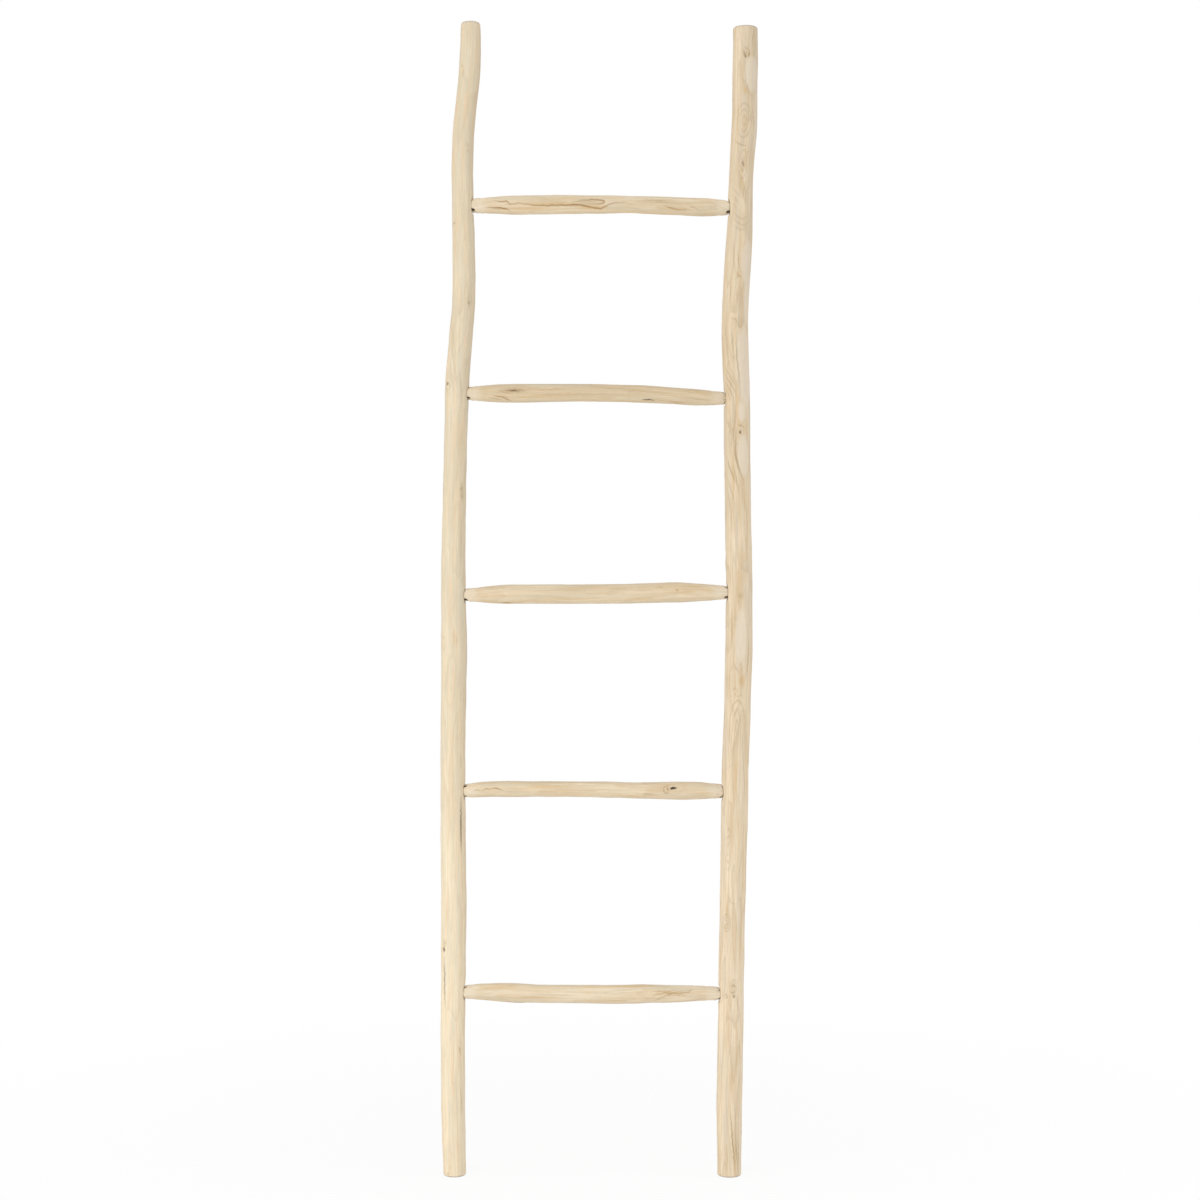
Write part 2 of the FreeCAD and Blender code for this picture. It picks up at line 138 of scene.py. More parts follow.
LEFT_POLE_MARKS = [
    # Two faint branch scars and small slips of the drawknife above the top rung.
    line(1.0, 0.85, 1781, -46, 1777, -38, 1774, -34),
    Patch(1770, -33, 8, 2.2, "warm", 0.9),
    line(1.0, 0.45, 1776, -33, 1768, -31, 1760, -33),
    Patch(1630, -54, 45, 6, "warm", 0.6),
    line(1.0, 0.6, 1655, 22, 1650, 32, 1645, 36),
    line(1.0, 0.6, 1645, 26, 1640, 36, 1636, 35),
    Knot(1526, -50, 2.5, 2, 0.5, 0.0),
    # Between rungs 5 and 4.
    Knot(1398, 31, 2.6, 1.8, 0.38, 0.2),
    Patch(1402, 30, 12, 4, "line", 0.3),
    line(1.1, 0.6, 1400, 20, 1394, 34, 1386, 33),
    line(0.9, 0.35, 1420, 28, 1408, 30, 1400, 30),
    line(1.6, 0.5, 1368, -52, 1346, -40, 1322, -22),
    line(1.4, 0.4, 1350, -56, 1328, -40, 1306, -26),
    line(1.5, 0.3, 1322, -30, 1290, -12, 1262, 4),
    line(1.4, 0.35, 1300, -44, 1275, -24, 1250, -8),
    line(1.4, 0.35, 1292, 10, 1264, 22, 1238, 30),
    line(1.4, 0.3, 1430, 36, 1404, 46, 1380, 50),
    Knot(1268, -49, 2.8, 2.4, 0.75, 0.9),
    line(1.1, 0.7, 1272, -48, 1267, -34, 1258, -28),
    line(1.0, 0.6, 1264, -58, 1256, -46, 1249, -44),
    line(1.2, 0.4, 1312, 48, 1290, 46, 1268, 44),
    # Between rungs 4 and 3.
    Patch(1094, 42, 18, 5, "line", 0.4),
    Knot(1101, 36, 3.0, 2, 0.22, 0.1),
    Knot(1088, 47, 4.0, 1.8, 0.25, 0.0),
    line(2.2, 0.5, 1112, 36, 1098, 43, 1080, 42),
    Patch(1010, 42, 46, 2, "line", 0.3),
    # Between rungs 3 and 2.
    line(1.0, 0.7, 866, -58, 862, -48, 858, -50),
    Patch(863, 5, 20, 5.5, "warm", 0.5),
    line(1.5, 0.4, 881, 1, 862, 3, 846, 2),
    line(1.3, 0.35, 874, 12, 858, 14, 842, 12),
    line(1.0, 0.5, 677, 42, 664, 45, 652, 44),
    # Between rungs 2 and 1, and down to the floor.
    Crack(1.7, 0.6, 1.0, [(612, 42), (580, 44), (552, 43), (516, 42)]),
    Knot(363, -44, 4, 2.3, 0.85, 0.5),
    Patch(369, -43, 14, 3.2, "line", 0.35),
    line(0.9, 0.7, 380, -54, 374, -44, 367, -44),
    line(0.9, 0.6, 380, -34, 372, -36, 362, -42),
    Crack(1.3, 0.6, 0.75, [(356, -42), (340, -44), (325, -40), (312, -42), (290, -42), (270, -40)]),
    line(1.4, 0.8, 210, 33, 203, 38, 195, 44),
    line(1.1, 0.4, 146, 42, 124, 46, 101, 44),
    line(1.2, 0.5, 8, -46, 5, -32, 9, -20),
    # The far side.
    Knot(1690, 160, 7, 5, 0.6, 0.8),
    Ovals(1690, 160, 30, 9, 3, 0.4),
    Knot(1440, 110, 5, 3, 0.5, 0.4),
    line(1.5, 0.45, 1330, 150, 1290, 170, 1240, 175, 1190, 165),
    Knot(1120, -140, 8, 6, 0.65, 1.0),
    Crack(1.3, 0.8, 0.8, [(1010, 178), (940, 184), (860, 179), (800, 183)]),
    Knot(700, 125, 5, 4, 0.5, 0.3),
    line(1.5, 0.4, 560, -120, 520, -132, 470, -128),
    Knot(430, 165, 7, 5, 0.6, 0.6),
    Patch(180, -150, 40, 8, "warm", 0.5),
]
RIGHT_POLE_MARKS = [
    # Above rung 5: a knot of short slants, a bare flank, and nested ovals round two buds.
    line(1.3, 0.6, 1807, -10, 1804, 2, 1800, 13),
    line(1.7, 0.9, 1801, -14, 1795, -8, 1789, 0),
    line(1.6, 0.9, 1802, 16, 1796, 16, 1789, 6),
    line(1.5, 0.7, 1799, -1, 1794, 5),
    Knot(1791, -2, 2.6, 1.9, 0.55, 0.2),
    Patch(1798, 2, 13, 8, "line", 0.18),
    line(1.4, 0.3, 1836, 40, 1822, 34, 1812, 24),
    Patch(1763, 32, 32, 15, "pale", 1.0),
    Patch(1762, -12, 36, 4.6, "warm", 0.6),
    line(1.2, 0.4, 1789, -4, 1770, -4, 1750, -1, 1738, 8, 1730, 22, 1721, 44),
    Patch(1737, -2, 9, 5, "warm", 0.9),
    Patch(1700, 64, 74, 7, "pale", 0.85),
    Ovals(1688, -5, 34, 14, 3.4, 0.28),
    Patch(1684, -4, 24, 5, "warm", 0.55),
    line(1.1, 0.6, 1714, 28, 1695, 38, 1672, 46),
    line(1.1, 0.65, 1660, -50, 1652, -30, 1649, -8, 1647, 22),
    Ovals(1618, 2, 31, 8, 2.4, 0.32),
    Knot(1619, 2, 5, 1.2, 0.75, 0.2),
    Patch(1601, 12, 12, 3, "pale", 0.8),
    Patch(1584, 2, 16, 7, "warm", 0.4),
    line(1.1, 0.35, 1584, -52, 1572, -20, 1562, 10),
    line(1.1, 0.35, 1574, -54, 1563, -26, 1552, 0),
    line(1.0, 0.3, 1562, -56, 1552, -32, 1542, -10),
    line(1.0, 0.45, 1592, 22, 1577, 12, 1560, 6),
    line(1.2, 0.5, 1544, -40, 1534, -16, 1530, 8, 1536, 34),
    line(1.2, 0.5, 1532, -36, 1524, -10, 1520, 12, 1526, 36),
    line(1.2, 0.45, 1520, -30, 1512, 0, 1516, 28),
    Patch(1526, 10, 24, 14, "line", 0.14),
    # Between rungs 5 and 4: bare patches with drawn edges.
    Patch(1462, 40, 38, 13, "pale", 0.85),
    Patch(1408, 58, 54, 9, "pale", 0.95),
    Patch(1490, 4, 26, 6, "warm", 0.4),
    Patch(1443, 6, 9, 6, "warm", 0.6),
    line(1.3, 0.4, 1449, -6, 1441, 2, 1437, 14),
    line(1.1, 0.6, 1486, -8, 1468, -3, 1452, 4, 1444, 16),
    line(1.3, 0.5, 1433, -14, 1441, 6, 1434, 26),
    line(1.1, 0.5, 1437, -32, 1420, -28, 1400, -28, 1387, -26),
    line(2.0, 0.35, 1500, -30, 1480, -24, 1455, -18, 1440, -12),
    line(1.2, 0.35, 1424, -8, 1412, 2, 1396, 0, 1382, -6),
    line(2.2, 0.4, 1362, -50, 1335, -42, 1305, -38, 1285, -36),
    line(1.8, 0.35, 1362, -22, 1345, -14, 1325, -12, 1305, -8),
    Patch(1403, 18, 31, 5, "line", 0.28),
    Patch(1366, 10, 12, 12, "line", 0.25),
    line(1.2, 0.65, 1374, -30, 1371, -12, 1370, 2, 1366, 8, 1360, 14, 1358, 22, 1363, 34, 1371, 38),
    line(1.0, 0.5, 1381, 8, 1375, 14, 1366, 6),
    Patch(1297, 40, 72, 17, "pale", 1.0),
    line(1.4, 0.6, 1354, 4, 1330, 2, 1310, 2, 1290, 6, 1270, 10, 1254, 12, 1238, 10),
    line(1.0, 0.5, 1358, -44, 1335, -42, 1312, -42),
    line(1.3, 0.6, 1296, -58, 1282, -34, 1270, -16, 1262, 0),
    line(1.3, 0.75, 1285, -60, 1272, -36, 1260, -18, 1250, -4),
    line(1.3, 0.65, 1273, -60, 1262, -40, 1250, -24, 1240, -12),
    line(1.2, 0.5, 1262, -56, 1250, -40, 1238, -30),
    Patch(1266, -22, 26, 12, "line", 0.18),
    Patch(1224, 18, 18, 7, "pale", 0.9),
    # Between rungs 4 and 3.
    line(1.8, 0.4, 1234, -38, 1210, -30, 1180, -26, 1150, -34),
    line(1.6, 0.4, 1234, -14, 1215, -12, 1196, -16, 1180, -20),
    line(1.2, 0.6, 1214, -54, 1200, -38, 1184, -30),
    line(1.2, 0.55, 1210, -40, 1196, -24, 1176, -18),
    line(1.3, 0.85, 1204, -2, 1201, 14, 1199, 32),
    Knot(1191, 10, 2.8, 2.1, 0.75, 0.3),
    Patch(1154, 26, 38, 11, "pale", 0.9),
    line(2.0, 0.8, 1200, -9, 1180, -9, 1158, -13, 1141, -4, 1127, 8, 1113, 22),
    line(1.2, 0.75, 1156, -62, 1133, -38, 1112, -14, 1103, -6),
    line(1.0, 0.5, 1146, -50, 1127, -28, 1110, -8),
    line(1.4, 0.6, 1142, -26, 1122, -12, 1104, -2, 1090, 2),
    line(1.4, 0.45, 1126, -60, 1104, -38, 1084, -22, 1066, -16),
    line(1.4, 0.35, 1104, -58, 1082, -44, 1056, -34),
    Patch(992, 14, 14, 15, "warm", 0.4),
    Patch(962, 6, 16, 17, "warm", 0.3),
    line(1.1, 0.5, 1090, -36, 1060, -34, 1028, -34),
    Patch(1055, 66, 80, 6, "pale", 0.55),
    Patch(930, 5, 9, 7, "line", 0.22),
    line(1.2, 0.55, 934, -8, 927, 2, 931, 15),
    # Between rungs 3 and 2: the long oval and the tall arches below it.
    Patch(866, 6, 48, 11, "pale", 0.85),
    Patch(880, -34, 50, 4, "warm", 0.45),
    line(1.8, 0.5, 910, -38, 870, -34, 834, -32),
    line(1.2, 0.65, 860, 40, 835, 41, 812, 37, 799, 26),
    line(1.5, 0.4, 822, -24, 812, -10, 804, 2),
    line(1.0, 0.3, 826, 8, 812, 10, 800, 12),
    Patch(794, 12, 14, 8, "warm", 0.85),
    line(1.0, 0.5, 776, -30, 783, -17, 775, -6),
    line(0.9, 0.4, 768, -30, 774, -16, 768, -4, 772, 12, 765, 28),
    line(1.2, 0.42, 650, -36, 700, -38, 735, -34, 755, -24, 763, -4, 757, 16, 742, 30, 700, 34, 650, 32),
    line(1.2, 0.38, 655, -24, 700, -25, 735, -18, 751, -6, 738, 8, 700, 15, 655, 16),
    line(1.0, 0.34, 665, -13, 700, -13, 722, -9, 733, -3, 720, 4, 700, 7, 665, 6),
    # Between rungs 2 and 1, and down to the floor.
    Ovals(525, -28, 36, 6, 3, 0.35),
    line(1.2, 0.35, 455, -30, 440, -10, 438, 14),
    Patch(411, -38, 8, 4, "pale", 0.7),
    Ovals(408, -30, 15, 8, 3, 0.5),
    Patch(380, 8, 62, 6.5, "warm", 0.4),
    Patch(306, 8, 17, 9, "line", 0.3),
    Ovals(309, 8, 15, 9, 1.6, 0.25),
    line(1.2, 0.5, 315, -2, 318, 8, 314, 20),
    line(1.4, 0.85, 306, -7, 309, 8, 304, 24),
    line(1.3, 0.7, 299, -10, 296, 6, 301, 20),
    Knot(291, 9, 2.6, 1.9, 0.6, 0.2),
    Ovals(291, -26, 6, 4, 1.6, 0.75),
    line(1.0, 0.5, 292, 22, 280, 27, 266, 30),
    line(0.9, 0.35, 286, 0, 274, -6, 262, -6),
    Patch(305, 66, 60, 4.5, "pale", 0.7),
    Patch(212, -46, 30, 3, "pale", 0.7),
    line(1.1, 0.95, 118, -1, 88, 7, 58, 11, 32, 20, 4, 32),
    line(1.0, 0.7, 74, 24, 52, 30, 24, 38, 4, 44),
    line(1.0, 0.8, 70, 40, 40, 45, 8, 54),
    line(0.8, 0.5, 46, -17, 34, -14, 22, -10),
    Patch(150, 16, 46, 7, "warm", 0.35),
    line(0.9, 0.4, 120, 22, 96, 26, 74, 26),
    # The far side.
    Knot(1700, -150, 8, 5, 0.6, 0.9),
    Ovals(1700, -150, 34, 10, 4, 0.5),
    Patch(1560, 150, 50, 9, "pale", 0.6),
    Knot(1330, 130, 6, 4, 0.6, 0.5),
    line(1.6, 0.5, 1260, 170, 1210, 158, 1150, 162, 1100, 172),
    Knot(980, -120, 7, 5, 0.65, 0.8),
    Crack(1.3, 0.7, 0.8, [(900, 176), (820, 170), (740, 175)]),
    Patch(640, 165, 44, 8, "pale", 0.6),
    Knot(560, 112, 6, 4, 0.55, 0.4),
    Ovals(360, 146, 40, 9, 3, 0.5),
    Knot(150, -165, 7, 5, 0.6, 0.6),
]
RUNG_MARKS = {
    5: [
        # A long pointed loop drawn by the growth rings, with a second line running out of it.
        line(1.4, 0.9, -171, 30, -158, 12, -149, 15, -141, -4, -131, 6),
        line(1.8, 1.0, -150, -2, -140, -8, -128, 2, -104, -12, -83, -15, -59, -14, -31, -11, -13, -27, 2,
             -38, 14, -13, 23, 0, 38, 3, 57, -9),
        line(1.6, 1.0, -186, -24, -165, -26, -151, -32, -140, -52),
        line(1.6, 1.0, -46, 0, -26, 17, -10, 23, 2, 20, 8, 11, 8, 1, 0, -6, -12, -8, -26, -6),
        line(1.6, 0.7, -12, 22, 4, 18, 8, 6),
        Patch(-16, 10, 26, 7, "line", 0.34),
        Patch(-12, -28, 32, 6, "warm", 0.9),
        Patch(-80, -6, 60, 5, "warm", 0.7),
        Patch(-110, -32, 52, 5, "warm", 0.7),
        line(1.5, 0.8, 102, -8, 118, -26, 139, -38),
        line(1.3, 0.5, 112, -22, 128, -30, 150, -26),
        line(1.5, 0.55, 60, 16, 84, 26, 115, 20),
        line(1.3, 0.45, 66, 6, 96, 12, 132, 4),
        line(1.2, 0.45, 143, -2, 152, -18, 163, -32),
        Patch(114, -24, 42, 8, "warm", 0.45),
        line(1.0, 0.35, 60, 34, 90, 30, 130, 34),
    ],
    4: [
        # A greyed swirl near the left end and a dark lens low on the right.
        Knot(-137, 12, 8, 1.5, 0.6, 0.3),
        Patch(-135, 13, 26, 5, "line", 0.7),
        line(1.5, 0.7, -156, 8, -146, 14, -134, 10, -118, 15),
        line(1.3, 0.5, -150, 24, -138, 22, -126, 26),
        line(1.6, 0.9, -158, -27, -150, -38, -140, -58),
        line(1.4, 0.75, -170, -18, -160, -26, -146, -28),
        line(1.2, 0.55, -168, -4, -158, 4, -148, -2, -138, -8),
        line(1.3, 0.5, -178, -34, -166, -42, -154, -50),
        line(1.4, 0.4, 84, -40, 120, -48, 165, -42),
        line(1.4, 0.35, 18, 8, 60, 14, 112, 6),
        line(1.3, 0.4, 130, -8, 160, -20, 188, -24),
        line(1.4, 0.3, -130, 30, -90, 20, -40, 24),
        Patch(-182, 0, 16, 9, "warm", 0.25),
        Knot(79, -45, 11, 1.3, 0.85, 0.0),
        Patch(125, -58, 14, 2, "line", 0.5),
        line(1.1, 0.35, -110, -10, -60, -18, -10, -14, 40, -8),
        line(1.1, 0.4, -80, 26, -20, 30, 50, 28, 110, 14),
    ],
    3: [
        line(1.1, 0.5, 88, 34, 96, 36, 104, 33),
        line(1.3, 0.6, 121, 20, 126, 10, 124, 2),
        Patch(126, 10, 14, 7, "warm", 0.5),
        Patch(-149, -64, 14, 3, "line", 0.9),
        line(1.0, 0.4, 8, 30, 20, 32, 44, 30),
        line(1.0, 0.35, 74, -24, 82, -28, 90, -26),
        line(1.0, 0.25, -120, 20, -60, 26, -10, 22),
    ],
    2: [
        # A dark knot with curls round it, and small slips of the knife at the left end.
        Knot(118, 20, 5.6, 2.3, 1.0, 0.5),
        line(0.9, 0.9, 121, 25, 125, 22),
        line(1.1, 0.8, 114, 50, 104, 26, 103, -2, 109, -16),
        line(1.4, 0.8, 104, -6, 107, -14, 112, -12),
        line(1.2, 1.0, 111, 32, 108.6, 20, 108.8, 8, 111.5, 0),
        line(1.5, 0.7, -175, 6, -168, 14, -160, 4, -153, -6),
        line(1.5, 0.6, -188, -2, -180, 10, -172, 2),
        line(1.4, 0.5, -204, -8, -196, 4, -188, -4),
        Patch(-178, 2, 26, 7, "warm", 0.35),
        line(1.5, 0.9, -168, -76, -158, -78, -149, -74),
        Patch(-45, 55, 7, 3, "warm", 0.4),
        Patch(31, 36, 10, 3.5, "warm", 0.4),
        Patch(78, -22, 12, 4, "line", 0.35),
        Patch(-138, 0, 20, 10, "line", 0.12),
    ],
    1: [
        Patch(-133, -70, 20, 4, "line", 0.9),
        line(1.4, 0.75, 86, -8, 92, 6, 102, 16, 128, 10, 143, 20, 150, 44),
        line(1.3, 0.5, 82, 18, 96, 30, 112, 22),
        line(1.0, 0.5, 84, 2, 100, 30, 118, 34),
        line(1.2, 0.55, 85, -51, 93, -26, 109, 0, 122, 19, 147, 34),
        line(1.1, 0.5, 90, 0, 105, 19, 118, 32, 130, 28),
        line(1.0, 0.45, 90, -10, 112, -4, 136, 2, 152, 10),
        line(1.0, 0.35, -104, 6, -70, 2, -32, 2),
        Patch(-19, 22, 9, 3, "warm", 0.35),
        Patch(-195, 0, 20, 12, "warm", 0.25),
        Patch(172, 0, 16, 12, "warm", 0.2),
    ],
}

# How deep the colour of each branch is: the foot and the top of a pole, and each rung. The ramp along a
# pole is painted light: the foot is painted paler and the top deeper, for light that falls stronger low
# down.
POLE_PAINTED_LIGHT_TONES = {"left": (-0.16, 0.42), "right": (-0.15, 0.18)}
RUNG_TONES = {5: 0.12, 4: 0.42, 3: 0.04, 2: 0.02, 1: -0.2}

# Nooks left where a neck enters its pole: dents whose darkness is partly their own shadow and partly
# painted shade, laid on in the nook shade. The turn round the rung, how far round they reach and how deep
# they go, in millimetres.
NOOKS = {
    "left": {
        5: [Nook(-50, 2.5, 5.6)],
        4: [Nook(-54, 2.2, 4.4), Nook(68, 2.2, 1.4)],
        3: [Nook(-60, 2.8, 4.6)],
        2: [Nook(56, 2.4, 3.6), Nook(-70, 2.8, 3.6)],
        1: [Nook(60, 2.0, 2.0), Nook(-74, 2.6, 2.4)]},
    "right": {
        5: [Nook(-52, 2.7, 5.0), Nook(62, 2.4, 1.8)],
        4: [Nook(72, 2.2, 2.6), Nook(14, 1.3, 1.6), Nook(-16, 1.3, 1.6)],
        3: [Nook(-52, 2.5, 4.6), Nook(58, 2.0, 1.8)],
        2: [Nook(-66, 2.8, 2.6)],
        1: [Nook(-68, 3.2, 4.0), Nook(40, 2.0, 1.4)]},
}


def smoothstep(low, high, value):
    """0 up to low, 1 from high on, and a soft ramp between; low may be the larger one."""
    share = np.clip((value - low) / (high - low), 0, 1)
    return share * share * (3 - 2 * share)


def turned_from(turn, degrees):
    """How far turns are from one given in degrees, between half a turn less and half a turn more."""
    return (turn - math.radians(degrees) + math.pi) % FULL_TURN - math.pi


def bump_round(turn, nook, radius):
    """1 at a nook's turn and 0 beside it, round a branch of a radius."""
    return np.exp(-(turned_from(turn, nook.turn) * radius / (nook.size * MM)) ** 2)


class Ripple:
    """A smooth random surface round a branch: whole waves around it, long waves along it."""

    def __init__(self, seed, wave_length, most_around, count=14):
        pick = np.random.default_rng(seed)
        self.along = FULL_TURN / (wave_length * pick.uniform(0.6, 1.8, count))
        self.around = pick.integers(0, most_around + 1, count)
        self.shift = pick.uniform(0, FULL_TURN, count)
        self.share = pick.uniform(0.5, 1, count) / math.sqrt(count)

    def __call__(self, place, turn):
        total = np.zeros(np.broadcast(place, turn).shape)
        for along, around, shift, share in zip(self.along, self.around, self.shift, self.share):
            total += share * np.cos(along * place + around * turn + shift)
        return total


def layered(seed, layers):
    """Ripples of several sizes, one on another: each layer is a height and its waves."""
    ripples = [(height, Ripple(seed + k, *waves)) for k, (height, *waves) in enumerate(layers)]

    def rise(place, turn):
        return sum(height * ripple(place, turn) for height, ripple in ripples)

    return rise


# Branches read from the CAD nodes


def spots_of(mesh):
    """The corners of a mesh, one row each."""
    spots = np.empty(len(mesh.vertices) * 3)
    mesh.vertices.foreach_get("co", spots)
    return spots.reshape(-1, 3)


def read_rings(node, along, sideways):
    """The round sections of a branch node: place along it, heart (sideways, depth) and radius."""
    spots = spots_of(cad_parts[node].data)
    keys = np.round(spots[:, along] / RING_SPACING).astype(int)
    rings = []
    for key in np.unique(keys):
        ring = np.unique(np.round(spots[keys == key][:, [sideways, DEPTH]], 7), axis=0)
        if len(ring) < LEAST_CORNERS:
            continue
        # Least squares circle through the ring's points.
        sums = np.c_[2 * ring, np.ones(len(ring))]
        answer = np.linalg.lstsq(sums, (ring ** 2).sum(axis=1), rcond=None)[0]
        heart = answer[:2]
        radius = math.sqrt(answer[2] + heart @ heart)
        misses = np.abs(np.hypot(*(ring - heart).T) - radius)
        # A ring that goes all round is nearly as wide as its circle, both ways.
        if misses.max() < RING_MISS and np.ptp(ring, axis=0).min() > 1.8 * radius:
            rings.append((spots[keys == key][:, along].mean(), *heart, radius))
    return np.array(rings)


class Branch:
    """A crooked branch: its heart line and its radius at even steps along it."""

    def __init__(self, node, along, softness):
        self.node = node
        self.along = along
        self.sideways = 2 - along
        self.rings = read_rings(node, along, self.sideways)
        self.start, self.end = self.rings[0, 0], self.rings[-1, 0]
        body = self.rings[1:-1]
        self.places = np.linspace(self.start, self.end, int((self.end - self.start) / NODE_STEP) + 1)
        self.exact = np.stack([np.interp(self.places, body[:, 0], body[:, k]) for k in (1, 2, 3)], axis=1)
        reach = int(3 * softness / NODE_STEP)
        weights = np.exp(-0.5 * (np.arange(-reach, reach + 1) * NODE_STEP / softness) ** 2)
        weights /= weights.sum()
        padded = np.pad(self.exact, ((reach, reach), (0, 0)), mode="edge")
        self.values = np.stack([np.convolve(padded[:, k], weights, mode="valid") for k in range(3)], axis=1)

    def keep_exact(self, low, high, fade):
        """Takes the CAD's own sections outside low to high, fading to the softened ones."""
        inside = np.minimum(self.places - low, high - self.places)
        share = smoothstep(0, fade, inside)[:, None]
        self.values = share * self.values + (1 - share) * self.exact

    def at(self, place):
        """Heart sideways, heart depth and radius at places along the branch."""
        return [np.interp(place, self.places, self.values[:, k]) for k in range(3)]

    def point(self, place, turn, radius):
        """The spots at a radius from the heart, turned from the front."""
        side, depth, _ = self.at(place)
        spots = np.empty(np.broadcast(place, turn).shape + (3,))
        spots[..., self.along] = place
        spots[..., self.sideways] = side + radius * np.sin(turn)
        spots[..., DEPTH] = depth - radius * np.cos(turn)
        return spots

    def unwrap(self, spots):
        """Place, turn and radius of spots in space."""
        place = spots[:, self.along]
        side, depth, _ = self.at(place)
        across = spots[:, self.sideways] - side
        towards = depth - spots[:, DEPTH]
        return place, np.arctan2(across, towards), np.hypot(across, towards)


# What the marks do to a surface


def away(branch, place, turn, at, mark_turn):
    """How far spots are from a mark, along the branch and around it, in metres."""
    return place - at * MM, turned_from(turn, mark_turn) * branch.at(at * MM)[2]


def farness(branch, place, turn, mark):
    """How far spots are from the middle of a mark, as a share of the mark's own size."""
    along, around = away(branch, place, turn, mark.at, mark.turn)
    return np.hypot(along / (mark.tall * MM), around / (mark.wide * MM))


def nearness(branch, place, turn, mark):
    """1 on the line of a mark's route and 0 beside it; the line thins out to both ends."""
    near = np.zeros(place.shape)
    pairs = list(zip(mark.route, mark.route[1:]))
    whole = sum(math.dist(*pair) for pair in pairs)
    done = 0
    for (at_a, turn_a), (at_b, turn_b) in pairs:
        along, around = away(branch, place, turn, at_a, turn_a)
        run = (at_b - at_a) * MM
        side = math.radians(turn_b - turn_a) * branch.at(at_a * MM)[2]
        share = np.clip((along * run + around * side) / (run * run + side * side), 0, 1)
        miss = np.hypot(along - share * run, around - share * side)
        span = math.dist((at_a, turn_a), (at_b, turn_b))
        travelled = (done + share * span) / whole
        taper = LINE_TAPER + (1 - LINE_TAPER) * np.sin(math.pi * travelled)
        near = np.maximum(near, smoothstep(*LINE_EDGE, miss / (mark.width * MM * taper)) * taper)
        done += span
    return near


class Markings:
    """The marks of one branch, as masks and as a lift of its surface."""

    def __init__(self, branch, marks, seed):
        self.branch = branch
        self.marks = marks
        self.sways = [Ripple(seed + k, *waves) for k, waves in enumerate(SWAY_WAVES)]

    def at(self, place, turn):
        """The masks by name, and the lift of the surface in metres."""
        masks = {name: np.zeros(place.shape) for name in ("knot", "swirl", "pale", "warm", "line", "crack")}
        lift = np.zeros(place.shape)
        along, around = [MARK_SWAY * sway(place, turn) for sway in self.sways]
        swayed = (place + along, turn + around / self.branch.at(place)[2])
        for mark in self.marks:
            drawn = hasattr(mark, "route")
            found = (nearness if drawn else farness)(self.branch, *swayed, mark)
            if isinstance(mark, Line):
                name, mask = "line", mark.strength * found
            elif isinstance(mark, Crack):
                name, mask = "crack", mark.dark * found
                lift -= mark.depth * MM * found
            elif isinstance(mark, Patch):
                name = mark.tone
                mask = mark.strength * smoothstep(PATCH_EDGE, PATCH_CORES[name], found)
            elif isinstance(mark, Ovals):
                step = (found * mark.rings) % 1
                ring = smoothstep(0.35, 0.8, step) * smoothstep(1.0, 0.9, step)
                name, mask = "line", mark.strength * (ring * smoothstep(1.02, 0.9, found))
            else:
                name, mask = "knot", mark.dark * smoothstep(*KNOT_EDGE, found)
                masks["swirl"] += np.exp(-(found / SWIRL_REACH) ** 2)
                # A collar round the knot, and a dip in it.
                collar = np.exp(-((found - 1.5) / 0.8) ** 2) - 0.9 * np.exp(-(found / 0.7) ** 2)
                lift += mark.proud * MM * collar
            masks[name] = np.maximum(masks[name], mask)
        return masks, lift


# Skins


def add_object(name, data):
    """A new object in the scene."""
    made = bpy.data.objects.new(name, data)
    scene.collection.objects.link(made)
    return made


def add_mesh(name, spots, faces):
    """A new mesh object in the scene."""
    mesh = bpy.data.meshes.new(name)
    mesh.from_pydata(spots, [], faces)
    mesh.update()
    return add_object(name, mesh)


def rings_to_quads(rows, columns):
    """Corner numbers of rings set one on another, the same shifted by a column, and their quads."""
    corner = np.arange(rows * columns).reshape(rows, columns)
    onward = np.roll(corner, -1, axis=1)
    quads = np.stack([corner[:-1], onward[:-1], onward[1:], corner[1:]], axis=-1).reshape(-1, 4).tolist()
    return corner, onward, quads


def end_rows(end, inwards, radius, easing):
    """Rows from the middle of a sawn end out over its eased rim: place and radius."""
    flat = radius - easing
    made = [(end, share * flat) for share in CAP_SHARES]
    for row in range(EASING_ROWS + 1):
        turn = 0.5 * math.pi * row / EASING_ROWS
        made.append((end + inwards * easing * (1 - math.cos(turn)), flat + easing * math.sin(turn)))
    return made


def branch_skin(name, branch, columns, step, easings, lift):
    """A closed skin over a branch, quads all round, with a fan at the middle of each end."""
    first = end_rows(branch.start, 1, branch.at(branch.start)[2], easings[0])
    last = end_rows(branch.end, -1, branch.at(branch.end)[2], easings[1])[::-1]
    low, high = first[-1][0], last[0][0]
    between = np.linspace(low, high, int((high - low) / step) + 1)[1:-1]
    places = np.array([p for p, _ in first] + list(between) + [p for p, _ in last])
    radii = np.array([r for _, r in first] + list(branch.at(between)[2]) + [r for _, r in last])
    # The columns stand closer together on the front, where most of the marks are.
    turns = np.arange(columns) * FULL_TURN / columns
    turns = turns - FRONT_CLOSENESS * np.sin(turns)
    place_grid, turn_grid = np.meshgrid(places, turns, indexing="ij")
    radius_grid = np.repeat(radii[:, None], columns, axis=1)
    # The lift dies away over a sawn end.
    out = np.clip(radius_grid / branch.at(place_grid)[2], 0, 1)
    radius_grid = radius_grid + lift(place_grid, turn_grid) * out ** 4
    spots = branch.point(place_grid, turn_grid, radius_grid).reshape(-1, 3)
    ends = [branch.point(np.array([end]), np.array([0.0]), 0.0)[0] for end in (branch.start, branch.end)]
    corner, onward, faces = rings_to_quads(len(places), columns)
    faces += [(len(spots), b, a) for a, b in zip(corner[0], onward[0])]
    faces += [(len(spots) + 1, a, b) for a, b in zip(corner[-1], onward[-1])]
    if branch.along == 0:
        faces = [face[::-1] for face in faces]
    return add_mesh(name, np.vstack([spots, ends]).tolist(), faces)


